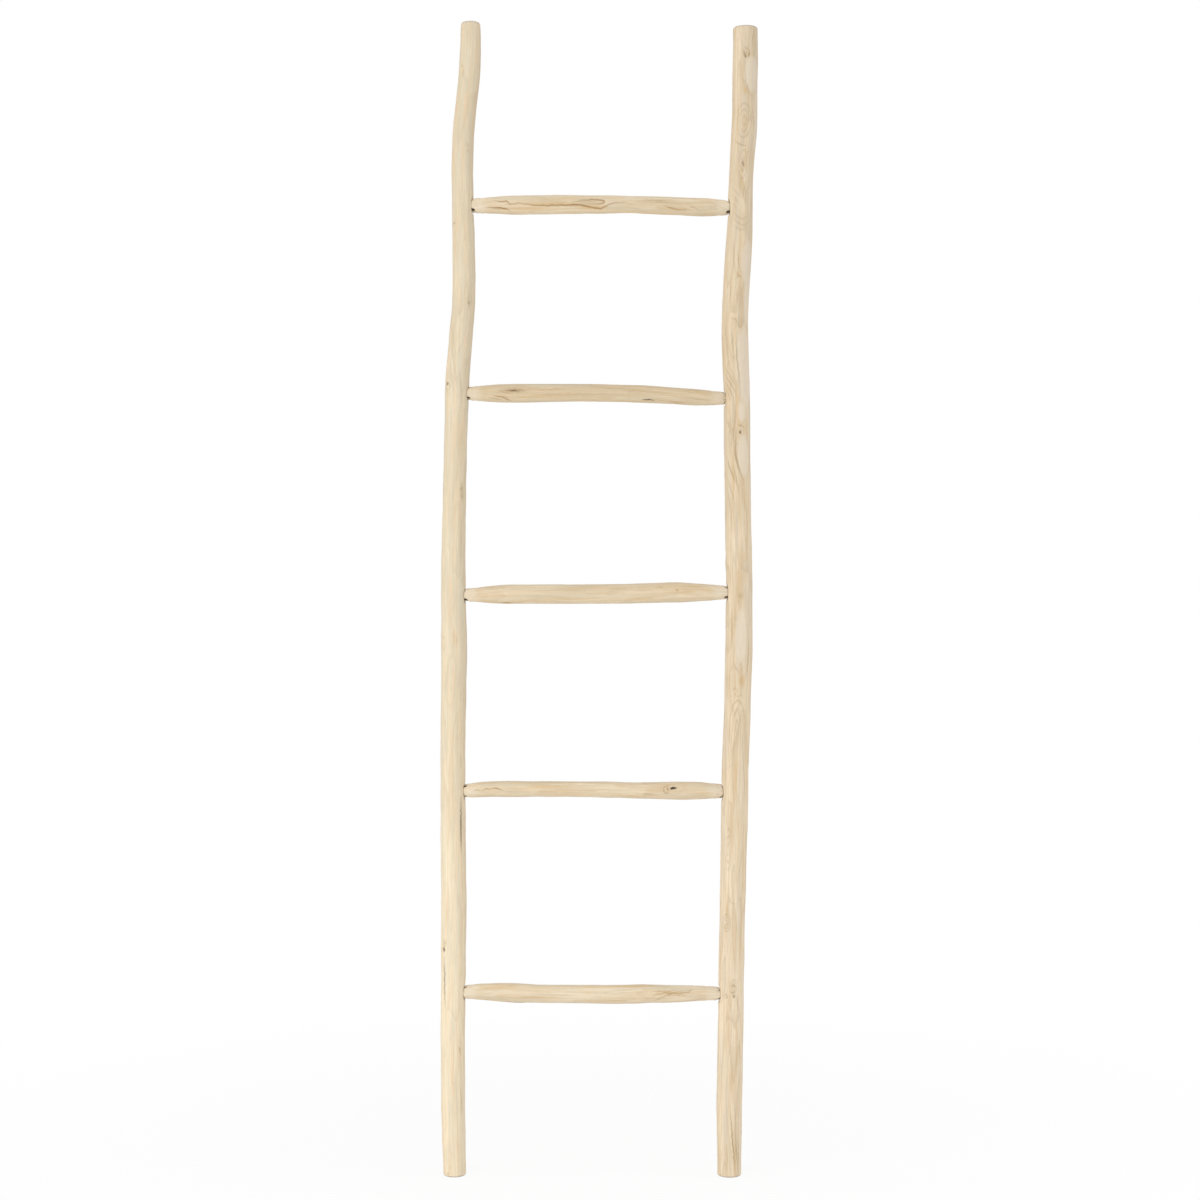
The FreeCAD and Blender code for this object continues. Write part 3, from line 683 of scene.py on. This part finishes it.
def turned_solid(along, rows, columns, centre, unevenness=None):
    """Corners and faces of a solid turned about a line: rows are (place, radius) from end to end."""
    turns = np.arange(columns) * FULL_TURN / columns
    first, second = [axis for axis in range(3) if axis != along]
    spots = np.empty((len(rows), columns, 3))
    for ring, (place, radius) in zip(spots, rows):
        rim = radius if unevenness is None else radius + unevenness(place, turns)
        ring[:, along] = place
        ring[:, first] = centre[0] + rim * np.cos(turns)
        ring[:, second] = centre[1] + rim * np.sin(turns)
    corner, _, faces = rings_to_quads(len(rows), columns)
    faces += [corner[0][::-1].tolist(), corner[-1].tolist()]
    # The faces look outwards as they are, unless the axis is Y or the rows run backwards.
    if (along == 1) != (rows[-1][0] < rows[0][0]):
        faces = [face[::-1] for face in faces]
    return spots.reshape(-1, 3).tolist(), faces


def cut_away(piece, solids):
    """Takes solids that don't touch each other out of a piece."""
    spots, faces = [], []
    for corners, sides in solids:
        faces += [[len(spots) + k for k in side] for side in sides]
        spots += corners
    tool = add_mesh("cutting_tool", spots, faces)
    cut = piece.modifiers.new("cut", "BOOLEAN")
    cut.operation = "DIFFERENCE"
    cut.object = tool
    cut.solver = "MANIFOLD"
    bpy.context.view_layer.update()
    made = bpy.data.meshes.new_from_object(piece.evaluated_get(bpy.context.evaluated_depsgraph_get()))
    if len(made.vertices) <= len(piece.data.vertices) // 2:
        raise RuntimeError(f"{piece.name}: a cut failed")
    made.materials.clear()
    piece.modifiers.remove(cut)
    piece.data = made
    made.name = piece.name
    bpy.data.objects.remove(tool)


def write_mask(mesh, name, values):
    """A number at every vertex, for the materials to read."""
    layer = mesh.attributes.new(name, "FLOAT", "POINT")
    layer.data.foreach_set("value", np.asarray(values, np.float32))


def finish_skin(skin, branch, markings, easings, grain_shift, makers):
    """Writes what the materials read: the place in the straightened branch, and the masks."""
    mesh = skin.data
    place, turn, radius = branch.unwrap(spots_of(mesh))
    grain = np.stack([radius * np.sin(turn), radius * np.cos(turn), place + grain_shift], axis=1)
    layer = mesh.attributes.new("grain_place", "FLOAT_VECTOR", "POINT")
    layer.data.foreach_set("vector", grain.astype(np.float32).ravel())
    start, end = easings
    on_end = np.maximum(smoothstep(branch.start + start, branch.start + 0.5 * start, place),
                        smoothstep(branch.end - end, branch.end - 0.5 * end, place))
    for name, values in markings.at(place, turn)[0].items():
        write_mask(mesh, name, values if name == "swirl" else values * (1 - on_end))
    write_mask(mesh, "sawn", on_end)
    for name, make in zip(("inside", "worked", "tone"), makers):
        write_mask(mesh, name, make(place, turn, radius))
    mesh.polygons.foreach_set("use_smooth", np.ones(len(mesh.polygons), bool))
    mesh.set_sharp_from_angle(angle=SHARP_ANGLE)


# Node wiring


def add_node(tree, kind, inputs=None, **settings):
    """A shader node with its settings; each input is a value or the socket that feeds it."""
    node = tree.nodes.new(f"ShaderNode{kind}")
    for name, value in settings.items():
        setattr(node, name, value)
    for key, value in (inputs or {}).items():
        if isinstance(value, bpy.types.NodeSocket):
            tree.links.new(value, node.inputs[key])
        else:
            node.inputs[key].default_value = value
    return node


def maths(tree, operation, *values, clamp=False):
    """A Math node's result."""
    return add_node(tree, "Math", dict(enumerate(values)), operation=operation, use_clamp=clamp).outputs[0]


def times(tree, first, second):
    """The product of two values."""
    return maths(tree, "MULTIPLY", first, second)


def vector_maths(tree, operation, *values):
    """A Vector Math node's outputs."""
    return add_node(tree, "VectorMath", dict(enumerate(values)), operation=operation).outputs


def add_up(tree, total, *parts):
    """A value with others added to it: each part is a value and its share."""
    for value, share in parts:
        total = maths(tree, "MULTIPLY_ADD", value, share, total)
    return total


def ramp(tree, value, low, high, to_low=0.0, to_high=1.0):
    """A soft ramp of a value from low to high."""
    ends = {"Value": value, "From Min": low, "From Max": high, "To Min": to_low, "To Max": to_high}
    return add_node(tree, "MapRange", ends, interpolation_type="SMOOTHSTEP", clamp=True).outputs["Result"]


def blend(tree, share, first, second):
    """Two colours mixed by a share."""
    colours = {0: share, 6: first, 7: second}
    return add_node(tree, "Mix", colours, data_type="RGBA", clamp_factor=True).outputs[2]


def noise(tree, place, scales, detail=2.0, roughness=0.5, distortion=0.0):
    """A noise over a place, with a scale for each axis; the grain runs along the last one."""
    return add_node(tree, "TexNoise",
                    {"Vector": vector_maths(tree, "MULTIPLY", place, scales)[0], "Scale": 1.0,
                     "Detail": detail, "Roughness": roughness, "Distortion": distortion}).outputs["Fac"]


def srgb(red, green, blue):
    """A colour given as screen values from 0 to 255."""
    shares = [value / 255 for value in (red, green, blue)]
    return [s / 12.92 if s <= 0.04045 else ((s + 0.055) / 1.055) ** 2.4 for s in shares] + [1.0]


def make_group(name, build, inputs, kind="Float"):
    """A node group that a function fills: names of inputs by kind, and outputs of one kind."""
    tree = bpy.data.node_groups.new(name, "ShaderNodeTree")
    for input_kind, names in inputs.items():
        for socket_name in names.split():
            tree.interface.new_socket(socket_name, in_out="INPUT", socket_type=f"NodeSocket{input_kind}")
    given = tree.nodes.new("NodeGroupInput").outputs
    made = build(tree, **{socket.name: socket for socket in given if socket.name})
    for socket_name in made:
        tree.interface.new_socket(socket_name, in_out="OUTPUT", socket_type=f"NodeSocket{kind}")
    out = tree.nodes.new("NodeGroupOutput").inputs
    for socket_name, socket in made.items():
        tree.links.new(socket, out[socket_name])
    return tree


def place_group(tree, group, values):
    """A group placed in a material and fed from the values by name; returns its outputs by name."""
    wanted = [socket.name for socket in group.interface.items_tree if socket.in_out == "INPUT"]
    placed = add_node(tree, "Group", {name: values[name] for name in wanted}, node_tree=group)
    return {socket.name: socket for socket in placed.outputs}


def new_material(name):
    """A material with no nodes yet, and its node tree."""
    material = bpy.data.materials.new(name)
    material.use_nodes = True
    material.node_tree.nodes.clear()
    return material, material.node_tree


def show(tree, shader, kind="Material"):
    """Sends a shader to the output of its material or world."""
    add_node(tree, f"Output{kind}", {"Surface": shader.outputs[0]})


def show_surface(tree, relief, strength, depth, inputs):
    """A surface with its relief as a bump."""
    bump = add_node(tree, "Bump", {"Strength": strength, "Distance": depth, "Height": relief})
    show(tree, add_node(tree, "BsdfPrincipled", {**inputs, "Normal": bump.outputs[0]}))


# What the wood is made of


def growth_figure(tree, place, swirl, bands):
    """Growth rings met by the surface: long loops and arches, drawn close round the knots."""
    broad = noise(tree, place, (34, 34, 4.2), 1.6, 0.45, 0.25)
    waver = noise(tree, place, (160, 160, 16))
    height = add_up(tree, times(tree, broad, bands), (waver, 0.35), (swirl, 2.2))
    step = maths(tree, "FRACT", height)
    ring = maths(tree, "POWER", step, 5)
    return {"ring": times(tree, ring, ramp(tree, step, 1.0, 0.93)),
            "band": times(tree, step, ramp(tree, step, 1.0, 0.8))}


def fine_grain(tree, place, pores):
    """Fibres and pores: fine streaks along the grain and short dark dashes."""
    dashes = ramp(tree, noise(tree, place, (1250, 1250, 95), 1), 0.66, 0.74)
    return {"streak": noise(tree, place, (330, 330, 11), 2.5, 0.6),
            "fibre": noise(tree, place, (800, 800, 36), 3, 0.6),
            "pore": times(tree, dashes, pores)}


def weathering(tree, place, weather):
    """Long soft patches where the wood has turned greyer or warmer."""
    greyed = ramp(tree, noise(tree, place, (130, 130, 7), 3, 0.6, 0.4), 0.46, 0.68)
    warmed = ramp(tree, noise(tree, place, (170, 170, 9), 3, 0.6, 0.4), 0.48, 0.7)
    return {"greyed": times(tree, greyed, weather),
            "warmed": times(tree, warmed, weather)}


def end_grain(tree, place):
    """A sawn end: growth rings round the pith, and small checks that run out from it."""
    flat = vector_maths(tree, "MULTIPLY", place, (1, 1, 0))[0]
    off = vector_maths(tree, "LENGTH", flat)["Value"]
    waver = noise(tree, place, (90, 90, 0))
    turns = add_up(tree, times(tree, off, 520), (waver, 1.6))
    spokes = noise(tree, vector_maths(tree, "NORMALIZE", flat)[0], (5.5, 5.5, 0), 1.5)
    return {"end_ring": maths(tree, "POWER", maths(tree, "FRACT", turns), 2.5),
            "check": times(tree, ramp(tree, spokes, 0.66, 0.72), ramp(tree, off, 0.001, 0.004))}


def colour_of_wood(tree, greyed, warmed, tone, band, ring, streak, fibre, pore, figure, knot, pale, warm,
                   line, crack, worked, inside, **shades):
    """The colour of the wood from its shades and masks, with painted shade on the walls of the joints'
    holes and in the nooks round the necks.
    """
    depth = times(tree, band, times(tree, figure, 0.6))
    depth = maths(tree, "ADD", depth, tone)
    depth = add_up(tree, depth, (ramp(tree, streak, 0.35, 0.65), 0.4))
    depth = maths(tree, "MULTIPLY_ADD", ramp(tree, fibre, 0.35, 0.65), 0.3, depth, clamp=True)
    ragged = add_up(tree, pale, (fibre, 0.9), (streak, 0.7))
    calm = maths(tree, "SUBTRACT", 1.0, times(tree, pale, 0.8))
    rings = times(tree, times(tree, ring, figure), calm)
    colour = blend(tree, depth, shades["light_shade"], shades["deep_shade"])
    # What is laid over the plain wood, in order: how much of it shows, and in which shade.
    for share, shade in (
            (greyed, "grey"),
            (maths(tree, "MAXIMUM", warm, warmed), "warm"),
            (ramp(tree, ragged, 0.9, 1.8, 0.0, 0.8), "pale"),
            (rings, "line"),
            (times(tree, line, ramp(tree, fibre, 0.2, 0.6, 0.55, 1.0)), "line"),
            (times(tree, pore, 0.45), "line"),
            (times(tree, worked, 0.35), "pale"),
            (knot, "knot"),
            (times(tree, crack, 0.85), "knot"),
            # Painted shade: the joints' holes and the cut-back necks are darkened towards the nook shade.
            (times(tree, inside, 0.9), "nook")):
        colour = blend(tree, share, colour, shades[f"{shade}_shade"])
    return {"colour": colour}


def relief_of_wood(tree, place, ring, streak, fibre, pore, crack, worked, sawn):
    """How high the surface stands, for the bump: fibres, pores, figure lines, cracks, tool marks."""
    rough = noise(tree, place, (420, 420, 420), 3, 0.6)
    torn = times(tree, rough, maths(tree, "MAXIMUM", worked, sawn))
    height = add_up(
        tree, times(tree, streak, 0.5), (fibre, 0.3), (pore, -0.5),
        (ring, -0.25), (crack, -2.0), (torn, 1.2))
    return {"height": height}


WOOD_GROUPS = (
    make_group("growth_figure", growth_figure, {"Vector": "place", "Float": "swirl bands"}),
    make_group("fine_grain", fine_grain, {"Vector": "place", "Float": "pores"}),
    make_group("weathering", weathering, {"Vector": "place", "Float": "weather"}),
    make_group("end_grain", end_grain, {"Vector": "place"}))
# The nook shade is a painted shade: the dark laid in the joints' holes and nooks.
WOOD_COLOUR = make_group("wood_colour", colour_of_wood, {
    "Color": "light_shade deep_shade line_shade knot_shade pale_shade warm_shade grey_shade nook_shade",
    "Float": ("greyed warmed tone band ring streak fibre pore figure "
              "knot pale warm line crack worked inside")}, "Color")
SURFACE_RELIEF = make_group("surface_relief", relief_of_wood, {
    "Vector": "place", "Float": "ring streak fibre pore crack worked sawn"})
WOOD_MASKS = ("knot", "swirl", "pale", "warm", "line", "crack", "worked", "inside", "sawn", "tone")
# Painted shade: the dark brown laid on the walls of the joints' holes and in the nooks round the necks,
# where shade falls.
NOOK_PAINTED_SHADE = (50, 32, 16)
SAWN_GREY = (194, 184, 170)


def wood_material(name, figure, bands, pores, weather, **shades):
    """A debarked, sanded branch: how strong and how many its growth rings are, how many pores
    show, how far it has weathered, and its shades."""
    material, tree = new_material(name)
    place = add_node(tree, "Attribute", attribute_name="grain_place").outputs["Vector"]
    values = {"place": place, "figure": figure, "bands": bands, "pores": pores, "weather": weather}
    for mask in WOOD_MASKS:
        values[mask] = add_node(tree, "Attribute", attribute_name=mask).outputs["Fac"]
    # The nook shade, a painted shade for the joints, joins the branch's own shades.
    for shade, screen_values in {**shades, "nook": NOOK_PAINTED_SHADE}.items():
        values[f"{shade}_shade"] = srgb(*screen_values)
    for group in WOOD_GROUPS:
        values.update(place_group(tree, group, values))
    mottle = ramp(tree, noise(tree, place, (22, 22, 5)), 0.3, 0.7)
    values["tone"] = add_up(tree, values["tone"], (mottle, 0.18))
    rings, checks, sawn = [times(tree, values[mask], share)
                           for mask, share in (("end_ring", 0.5), ("check", 0.7), ("sawn", 0.85))]
    cut = blend(tree, rings, srgb(*SAWN_GREY), values["line_shade"])
    cut = blend(tree, checks, cut, values["knot_shade"])
    show_surface(tree, place_group(tree, SURFACE_RELIEF, values)["height"], 0.35, 0.4 * MM, {
        "Base Color": blend(tree, sawn, place_group(tree, WOOD_COLOUR, values)["colour"], cut),
        "Roughness": ramp(tree, values["streak"], 0.2, 0.8, 0.56, 0.7),
        "Specular IOR Level": ramp(tree, values["inside"], 0.0, 0.8, 0.35, 0.0)})
    return material


pale_pole_wood = wood_material(
    "pale_pole_wood", 0.18, 6, 0.5, 0.6, light=(241, 225, 195), deep=(214, 199, 171),
    line=(178, 148, 106), knot=(94, 72, 48), pale=(234, 223, 206), warm=(229, 201, 164),
    grey=(213, 205, 184))
tan_pole_wood = wood_material(
    "tan_pole_wood", 0.3, 8, 0.5, 0.65, light=(239, 221, 193), deep=(212, 193, 162),
    line=(168, 140, 98), knot=(88, 68, 44), pale=(226, 212, 191), warm=(212, 182, 138),
    grey=(211, 197, 176))
rung_wood = wood_material(
    "rung_wood", 0.2, 6, 0.6, 0.6, light=(233, 216, 189), deep=(208, 188, 155),
    line=(162, 130, 86), knot=(50, 36, 22), pale=(236, 225, 206), warm=(212, 182, 136),
    grey=(207, 197, 172))


def make_peg_material():
    """Split peg wood, a little darker than the branches, with its fibres along the peg."""
    material, tree = new_material("peg_wood")
    spot = add_node(tree, "TexCoord").outputs["Object"]
    fibre = noise(tree, spot, (1400, 60, 1400))
    colour = blend(tree, ramp(tree, fibre, 0.3, 0.7), srgb(214, 182, 138), srgb(176, 138, 94))
    show_surface(tree, fibre, 0.4, 0.2 * MM, {"Base Color": colour, "Roughness": 0.62})
    return material


peg_wood = make_peg_material()


# The ladder

rungs = {number: Branch(f"rung_{number}", 0, RUNG_SOFTNESS) for number in RUNG_NUMBERS}
poles = {side: Branch(f"{side}_pole", 2, POLE_SOFTNESS) for side in SIDES}


def rung_end(number, side):
    """Where a rung enters a pole: its heart there, the tenon and neck radii, and the places along X
    of the tenon's end, the throat of the mortise and the pole's face."""
    end, shoulder, throat, face = rungs[number].rings[::SIDES[side]][:4]
    return Joint(face[1], face[2], shoulder[3], face[3], end[0], throat[0], face[0])


def mortise(number, side, seed):
    """The hole for a tenon: a bore, and a flared mouth that is uneven and has its nooks."""
    joint = rung_end(number, side)
    bore = joint.tenon + BORE_FIT
    mouth = joint.neck + MOUTH_GAPS[side]
    depth = joint.face - joint.throat
    uneven = Ripple(seed + number, *MOUTH_WAVES)
    # The last row stands well clear of the pole, so that no sliver is left on its face.
    rows = [(joint.end - SIDES[side] * BORE_END_GAP, bore)]
    rows += [(joint.throat + share * depth, bore + (mouth - bore) * np.clip(share, 0, 2))
             for share in (-1, -0.5, 0, 0.5, 1, 2, 6)]

    def rim(place, turns):
        share = (place - joint.throat) / depth
        # The solid is turned from the back, upwards; a nook's turn is counted from the front.
        gouged = sum(0.5 * nook.depth * MM * bump_round(math.pi - turns, nook, joint.neck)
                     for nook in NOOKS[side][number])
        uneven_rim = MOUTH_UNEVENNESS * uneven(0, turns) * np.clip(share, 0, 1)
        return uneven_rim + gouged * np.clip(0.9 + 0.9 * share, 0, 1)

    return turned_solid(0, rows, MORTISE_COLUMNS, (joint.depth, joint.up), rim)


def peg_hole(number, side):
    """The hole a peg is driven into, from behind the pole through the tenon."""
    low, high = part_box(f"rung_{number}_{side}_peg")
    front, back = low.y - PEG_HOLE_ENDS[0], high.y + PEG_HOLE_ENDS[1]
    heart = ((low.x + high.x) / 2, (low.z + high.z) / 2)
    rows = [(front, PEG_HOLE_RADIUS), (back, PEG_HOLE_RADIUS)]
    return turned_solid(1, rows, PEG_HOLE_COLUMNS, heart)


def make_pole(side, marks, material, seed):
    """One pole: its skin with swells and marks, its joints cut, its ends eased."""
    branch = poles[side]
    markings = Markings(branch, marks, seed)
    uneven = layered(seed + 2, POLE_RIPPLES)
    foot_painted_light, top_painted_light = POLE_PAINTED_LIGHT_TONES[side]

    def lift(place, turn):
        return uneven(place, turn) + markings.at(place, turn)[1]

    def inside(place, turn, radius):
        """1 on the walls of the joints' holes, 0 outside: the walls are painted with shade."""
        whole = branch.at(place)[2]
        beyond = (place > branch.start + FOOT_EASING) & (place < branch.end - TOP_EASING[side])
        return np.where(beyond, smoothstep(whole - 1.6 * MM, whole - 4 * MM, radius), 0)

    def worked(place, turn, radius):
        return np.zeros(place.shape)

    # Painted light: the pole is painted paler towards its foot and deeper towards its top.
    def tone(place, turn, radius):
        return foot_painted_light + (top_painted_light - foot_painted_light) * smoothstep(0.25, 0.95, place)

    easings = (FOOT_EASING, TOP_EASING[side])
    skin = branch_skin(f"{side}_pole_skin", branch, POLE_COLUMNS, POLE_STEP, easings, lift)
    cut_away(skin, [mortise(number, side, seed) for number in RUNG_NUMBERS])
    cut_away(skin, [peg_hole(number, side) for number in RUNG_NUMBERS])
    finish_skin(skin, branch, markings, easings, 0.0, (inside, worked, tone))
    skin.data.materials.append(material)
    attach(skin, "root")
    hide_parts(branch.node)


def make_rung(number, marks, material, seed):
    """One rung: fullest along the middle, whittled in flats down to its necks."""
    branch = rungs[number]
    joints = {side: rung_end(number, side) for side in SIDES}
    left, right = joints.values()
    branch.keep_exact(left.face, right.face, SOFTENED_OVER)
    markings = Markings(branch, marks, seed)
    uneven = layered(seed + 2, RUNG_RIPPLES)
    wander = Ripple(seed + 4, *WANDER_WAVES)

    def shown(place):
        """How far places are from the poles' faces, towards the rung's middle."""
        return np.minimum(place - left.face, right.face - place)

    def worked(place, turn, radius):
        return smoothstep(*WHITTLED_REACH, shown(place)) * smoothstep(-4 * MM, 0, shown(place))

    def outside_pole(place, turn, side):
        """How far the rung's surface stands outside a pole's surface, in metres."""
        spots = branch.point(place, turn, branch.at(place)[2]).reshape(-1, 3)
        height, _, radius = poles[side].unwrap(spots)
        return (radius - poles[side].at(height)[2]).reshape(place.shape)

    def cut_back(place, turn):
        """How far the neck is cut back, in metres: it rounds off where it meets the pole, more in
        some places than in others, and has its nooks."""
        cut = np.zeros(place.shape)
        roundness = np.clip(1 + 0.5 * wander(3 * place, turn), 0.3, 1.7)
        for side, joint in joints.items():
            out = outside_pole(place, turn, side)
            cut = np.maximum(cut, BUTT_ROUNDING[side] * roundness * smoothstep(0.3 * MM, -2.4 * MM, out))
            along = smoothstep(4.4 * MM, 2.2 * MM, out)
            for nook in NOOKS[side][number]:
                cut = np.maximum(cut, 0.8 * nook.depth * MM * along * bump_round(turn, nook, joint.neck))
        return cut * smoothstep(0, 2 * MM, np.minimum(place - left.throat, right.throat - place))

    # 1 where the neck is cut back deepest at the poles, 0 where it is whole: there its wood is painted with
    # shade.
    def inside(place, turn, radius):
        return smoothstep(0.5 * MM, 2.2 * MM, cut_back(place, turn))

    def tone(place, turn, radius):
        return np.full(place.shape, RUNG_TONES[number])

    def lift(place, turn):
        phase = (turn + 0.25 * wander(place, turn) + seed) * FLATS / FULL_TURN
        bow = np.cos(math.pi / FLATS) / np.cos((phase % 1 - 0.5) * FULL_TURN / FLATS) - 1
        whittled = branch.at(place)[2] * (bow + FLAT_RISE) * worked(place, turn, None)
        body = smoothstep(0, RIPPLED_OVER, shown(place))
        return whittled + (uneven(place, turn) + markings.at(place, turn)[1]) * body - cut_back(place, turn)

    easings = (RUNG_EASING, RUNG_EASING)
    skin = branch_skin(f"rung_{number}_skin", branch, RUNG_COLUMNS, RUNG_STEP, easings, lift)
    cut_away(skin, [peg_hole(number, side) for side in SIDES])
    finish_skin(skin, branch, markings, easings, number * 0.9, (inside, worked, tone))
    skin.data.materials.append(material)
    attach(skin, "root")
    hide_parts(branch.node)


make_pole("left", LEFT_POLE_MARKS, pale_pole_wood, 11)
make_pole("right", RIGHT_POLE_MARKS, tan_pole_wood, 47)
for number in RUNG_NUMBERS:
    make_rung(number, RUNG_MARKS[number], rung_wood, 80 + 7 * number)
    for side in SIDES:
        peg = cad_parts[f"rung_{number}_{side}_peg"]
        peg.data.materials.clear()
        peg.data.materials.append(peg_wood)


# Floor, backdrop and light

ROOM_LIGHT = 0.66
FLOOR_SHADOW = 0.9
SHADOW_REACH = (0.4, 1.6)


def white_where_seen(tree, plain, kind, share):
    """A shader for the light, under a white of a kind for what the camera, metal and glass see."""
    path = add_node(tree, "LightPath").outputs
    seen = maths(tree, "MAXIMUM", path["Is Camera Ray"],
                 maths(tree, "MAXIMUM", path["Is Glossy Ray"], path["Is Transmission Ray"]))
    white = add_node(tree, kind, {"Color": (1, 1, 1, 1), "Strength": 1.0})
    return add_node(tree, "MixShader", {0: times(tree, seen, share),
                                       1: plain.outputs[0], 2: white.outputs[0]})


def stage_material(name, near_share):
    """White, seen by the camera as white; round the foot it keeps a share of the shadows."""
    material, tree = new_material(name)
    spot = add_node(tree, "TexCoord").outputs["Object"]
    share = ramp(tree, vector_maths(tree, "LENGTH", spot)["Value"], *SHADOW_REACH, near_share, 1.0)
    paint = add_node(tree, "BsdfDiffuse", {"Color": (0.92, 0.92, 0.92, 1)})
    show(tree, white_where_seen(tree, paint, "Emission", share))
    return material


def stage_sheet(name, corners, near_share):
    """A flat sheet of the stage."""
    sheet = add_mesh(name, corners, [(0, 1, 2, 3)])
    sheet.data.materials.append(stage_material(f"{name}_white", near_share))


stage_sheet("floor", [(-8, -5, 0), (8, -5, 0), (8, 7, 0), (-8, 7, 0)], FLOOR_SHADOW)
stage_sheet("backdrop", [(-8, 7, 0), (8, 7, 0), (8, 7, 8), (-8, 7, 8)], 1.0)

world = bpy.data.worlds.new("studio")
scene.world = world
world.use_nodes = True
sky = world.node_tree
sky.nodes.clear()
room = add_node(sky, "Background", {"Color": (1, 1, 1, 1), "Strength": ROOM_LIGHT})
show(sky, white_where_seen(sky, room, "Background", 1.0), "World")


def softbox(name, spot, aim, width, height, light_on_aim):
    """A wide soft lamp: its place, what it points at, its size, and how much light lands there."""
    lamp = bpy.data.lights.new(name, "AREA")
    lamp.shape = "RECTANGLE"
    lamp.size = width
    lamp.size_y = height
    way = Vector(aim) - Vector(spot)
    lamp.energy = light_on_aim * math.pi * way.length_squared
    held = add_object(name, lamp)
    held.location = spot
    held.rotation_euler = way.to_track_quat("-Z", "Y").to_euler()
    held.visible_camera = False


softbox("key", (-1.8, -2.0, 0.8), (0, 0, 0.7), 1.4, 1.5, 1.35)
softbox("fill", (1.5, -0.35, 0.85), (0.225, 0, 0.85), 0.5, 1.5, 0.95)
softbox("overhead", (0, -0.5, 3.4), (0, 0, 1.0), 1.2, 1.2, 0.6)

# Camera, straight on at mid-height

CAMERA_DISTANCE = 3.5
CAMERA_HEIGHT = 922.6 * MM
CAMERA_SIDEWAYS = 1.2 * MM
SENSOR_WIDTH = 36
SEEN_WIDTH = 1.926
camera = bpy.data.cameras.new("camera")
camera.sensor_width = SENSOR_WIDTH
camera.lens = SENSOR_WIDTH * CAMERA_DISTANCE / SEEN_WIDTH
camera_stand = add_object("camera", camera)
camera_stand.location = (CAMERA_SIDEWAYS, -CAMERA_DISTANCE, CAMERA_HEIGHT)
camera_stand.rotation_euler = (math.radians(90), 0, 0)
scene.camera = camera_stand
scene.view_settings.view_transform = "Standard"
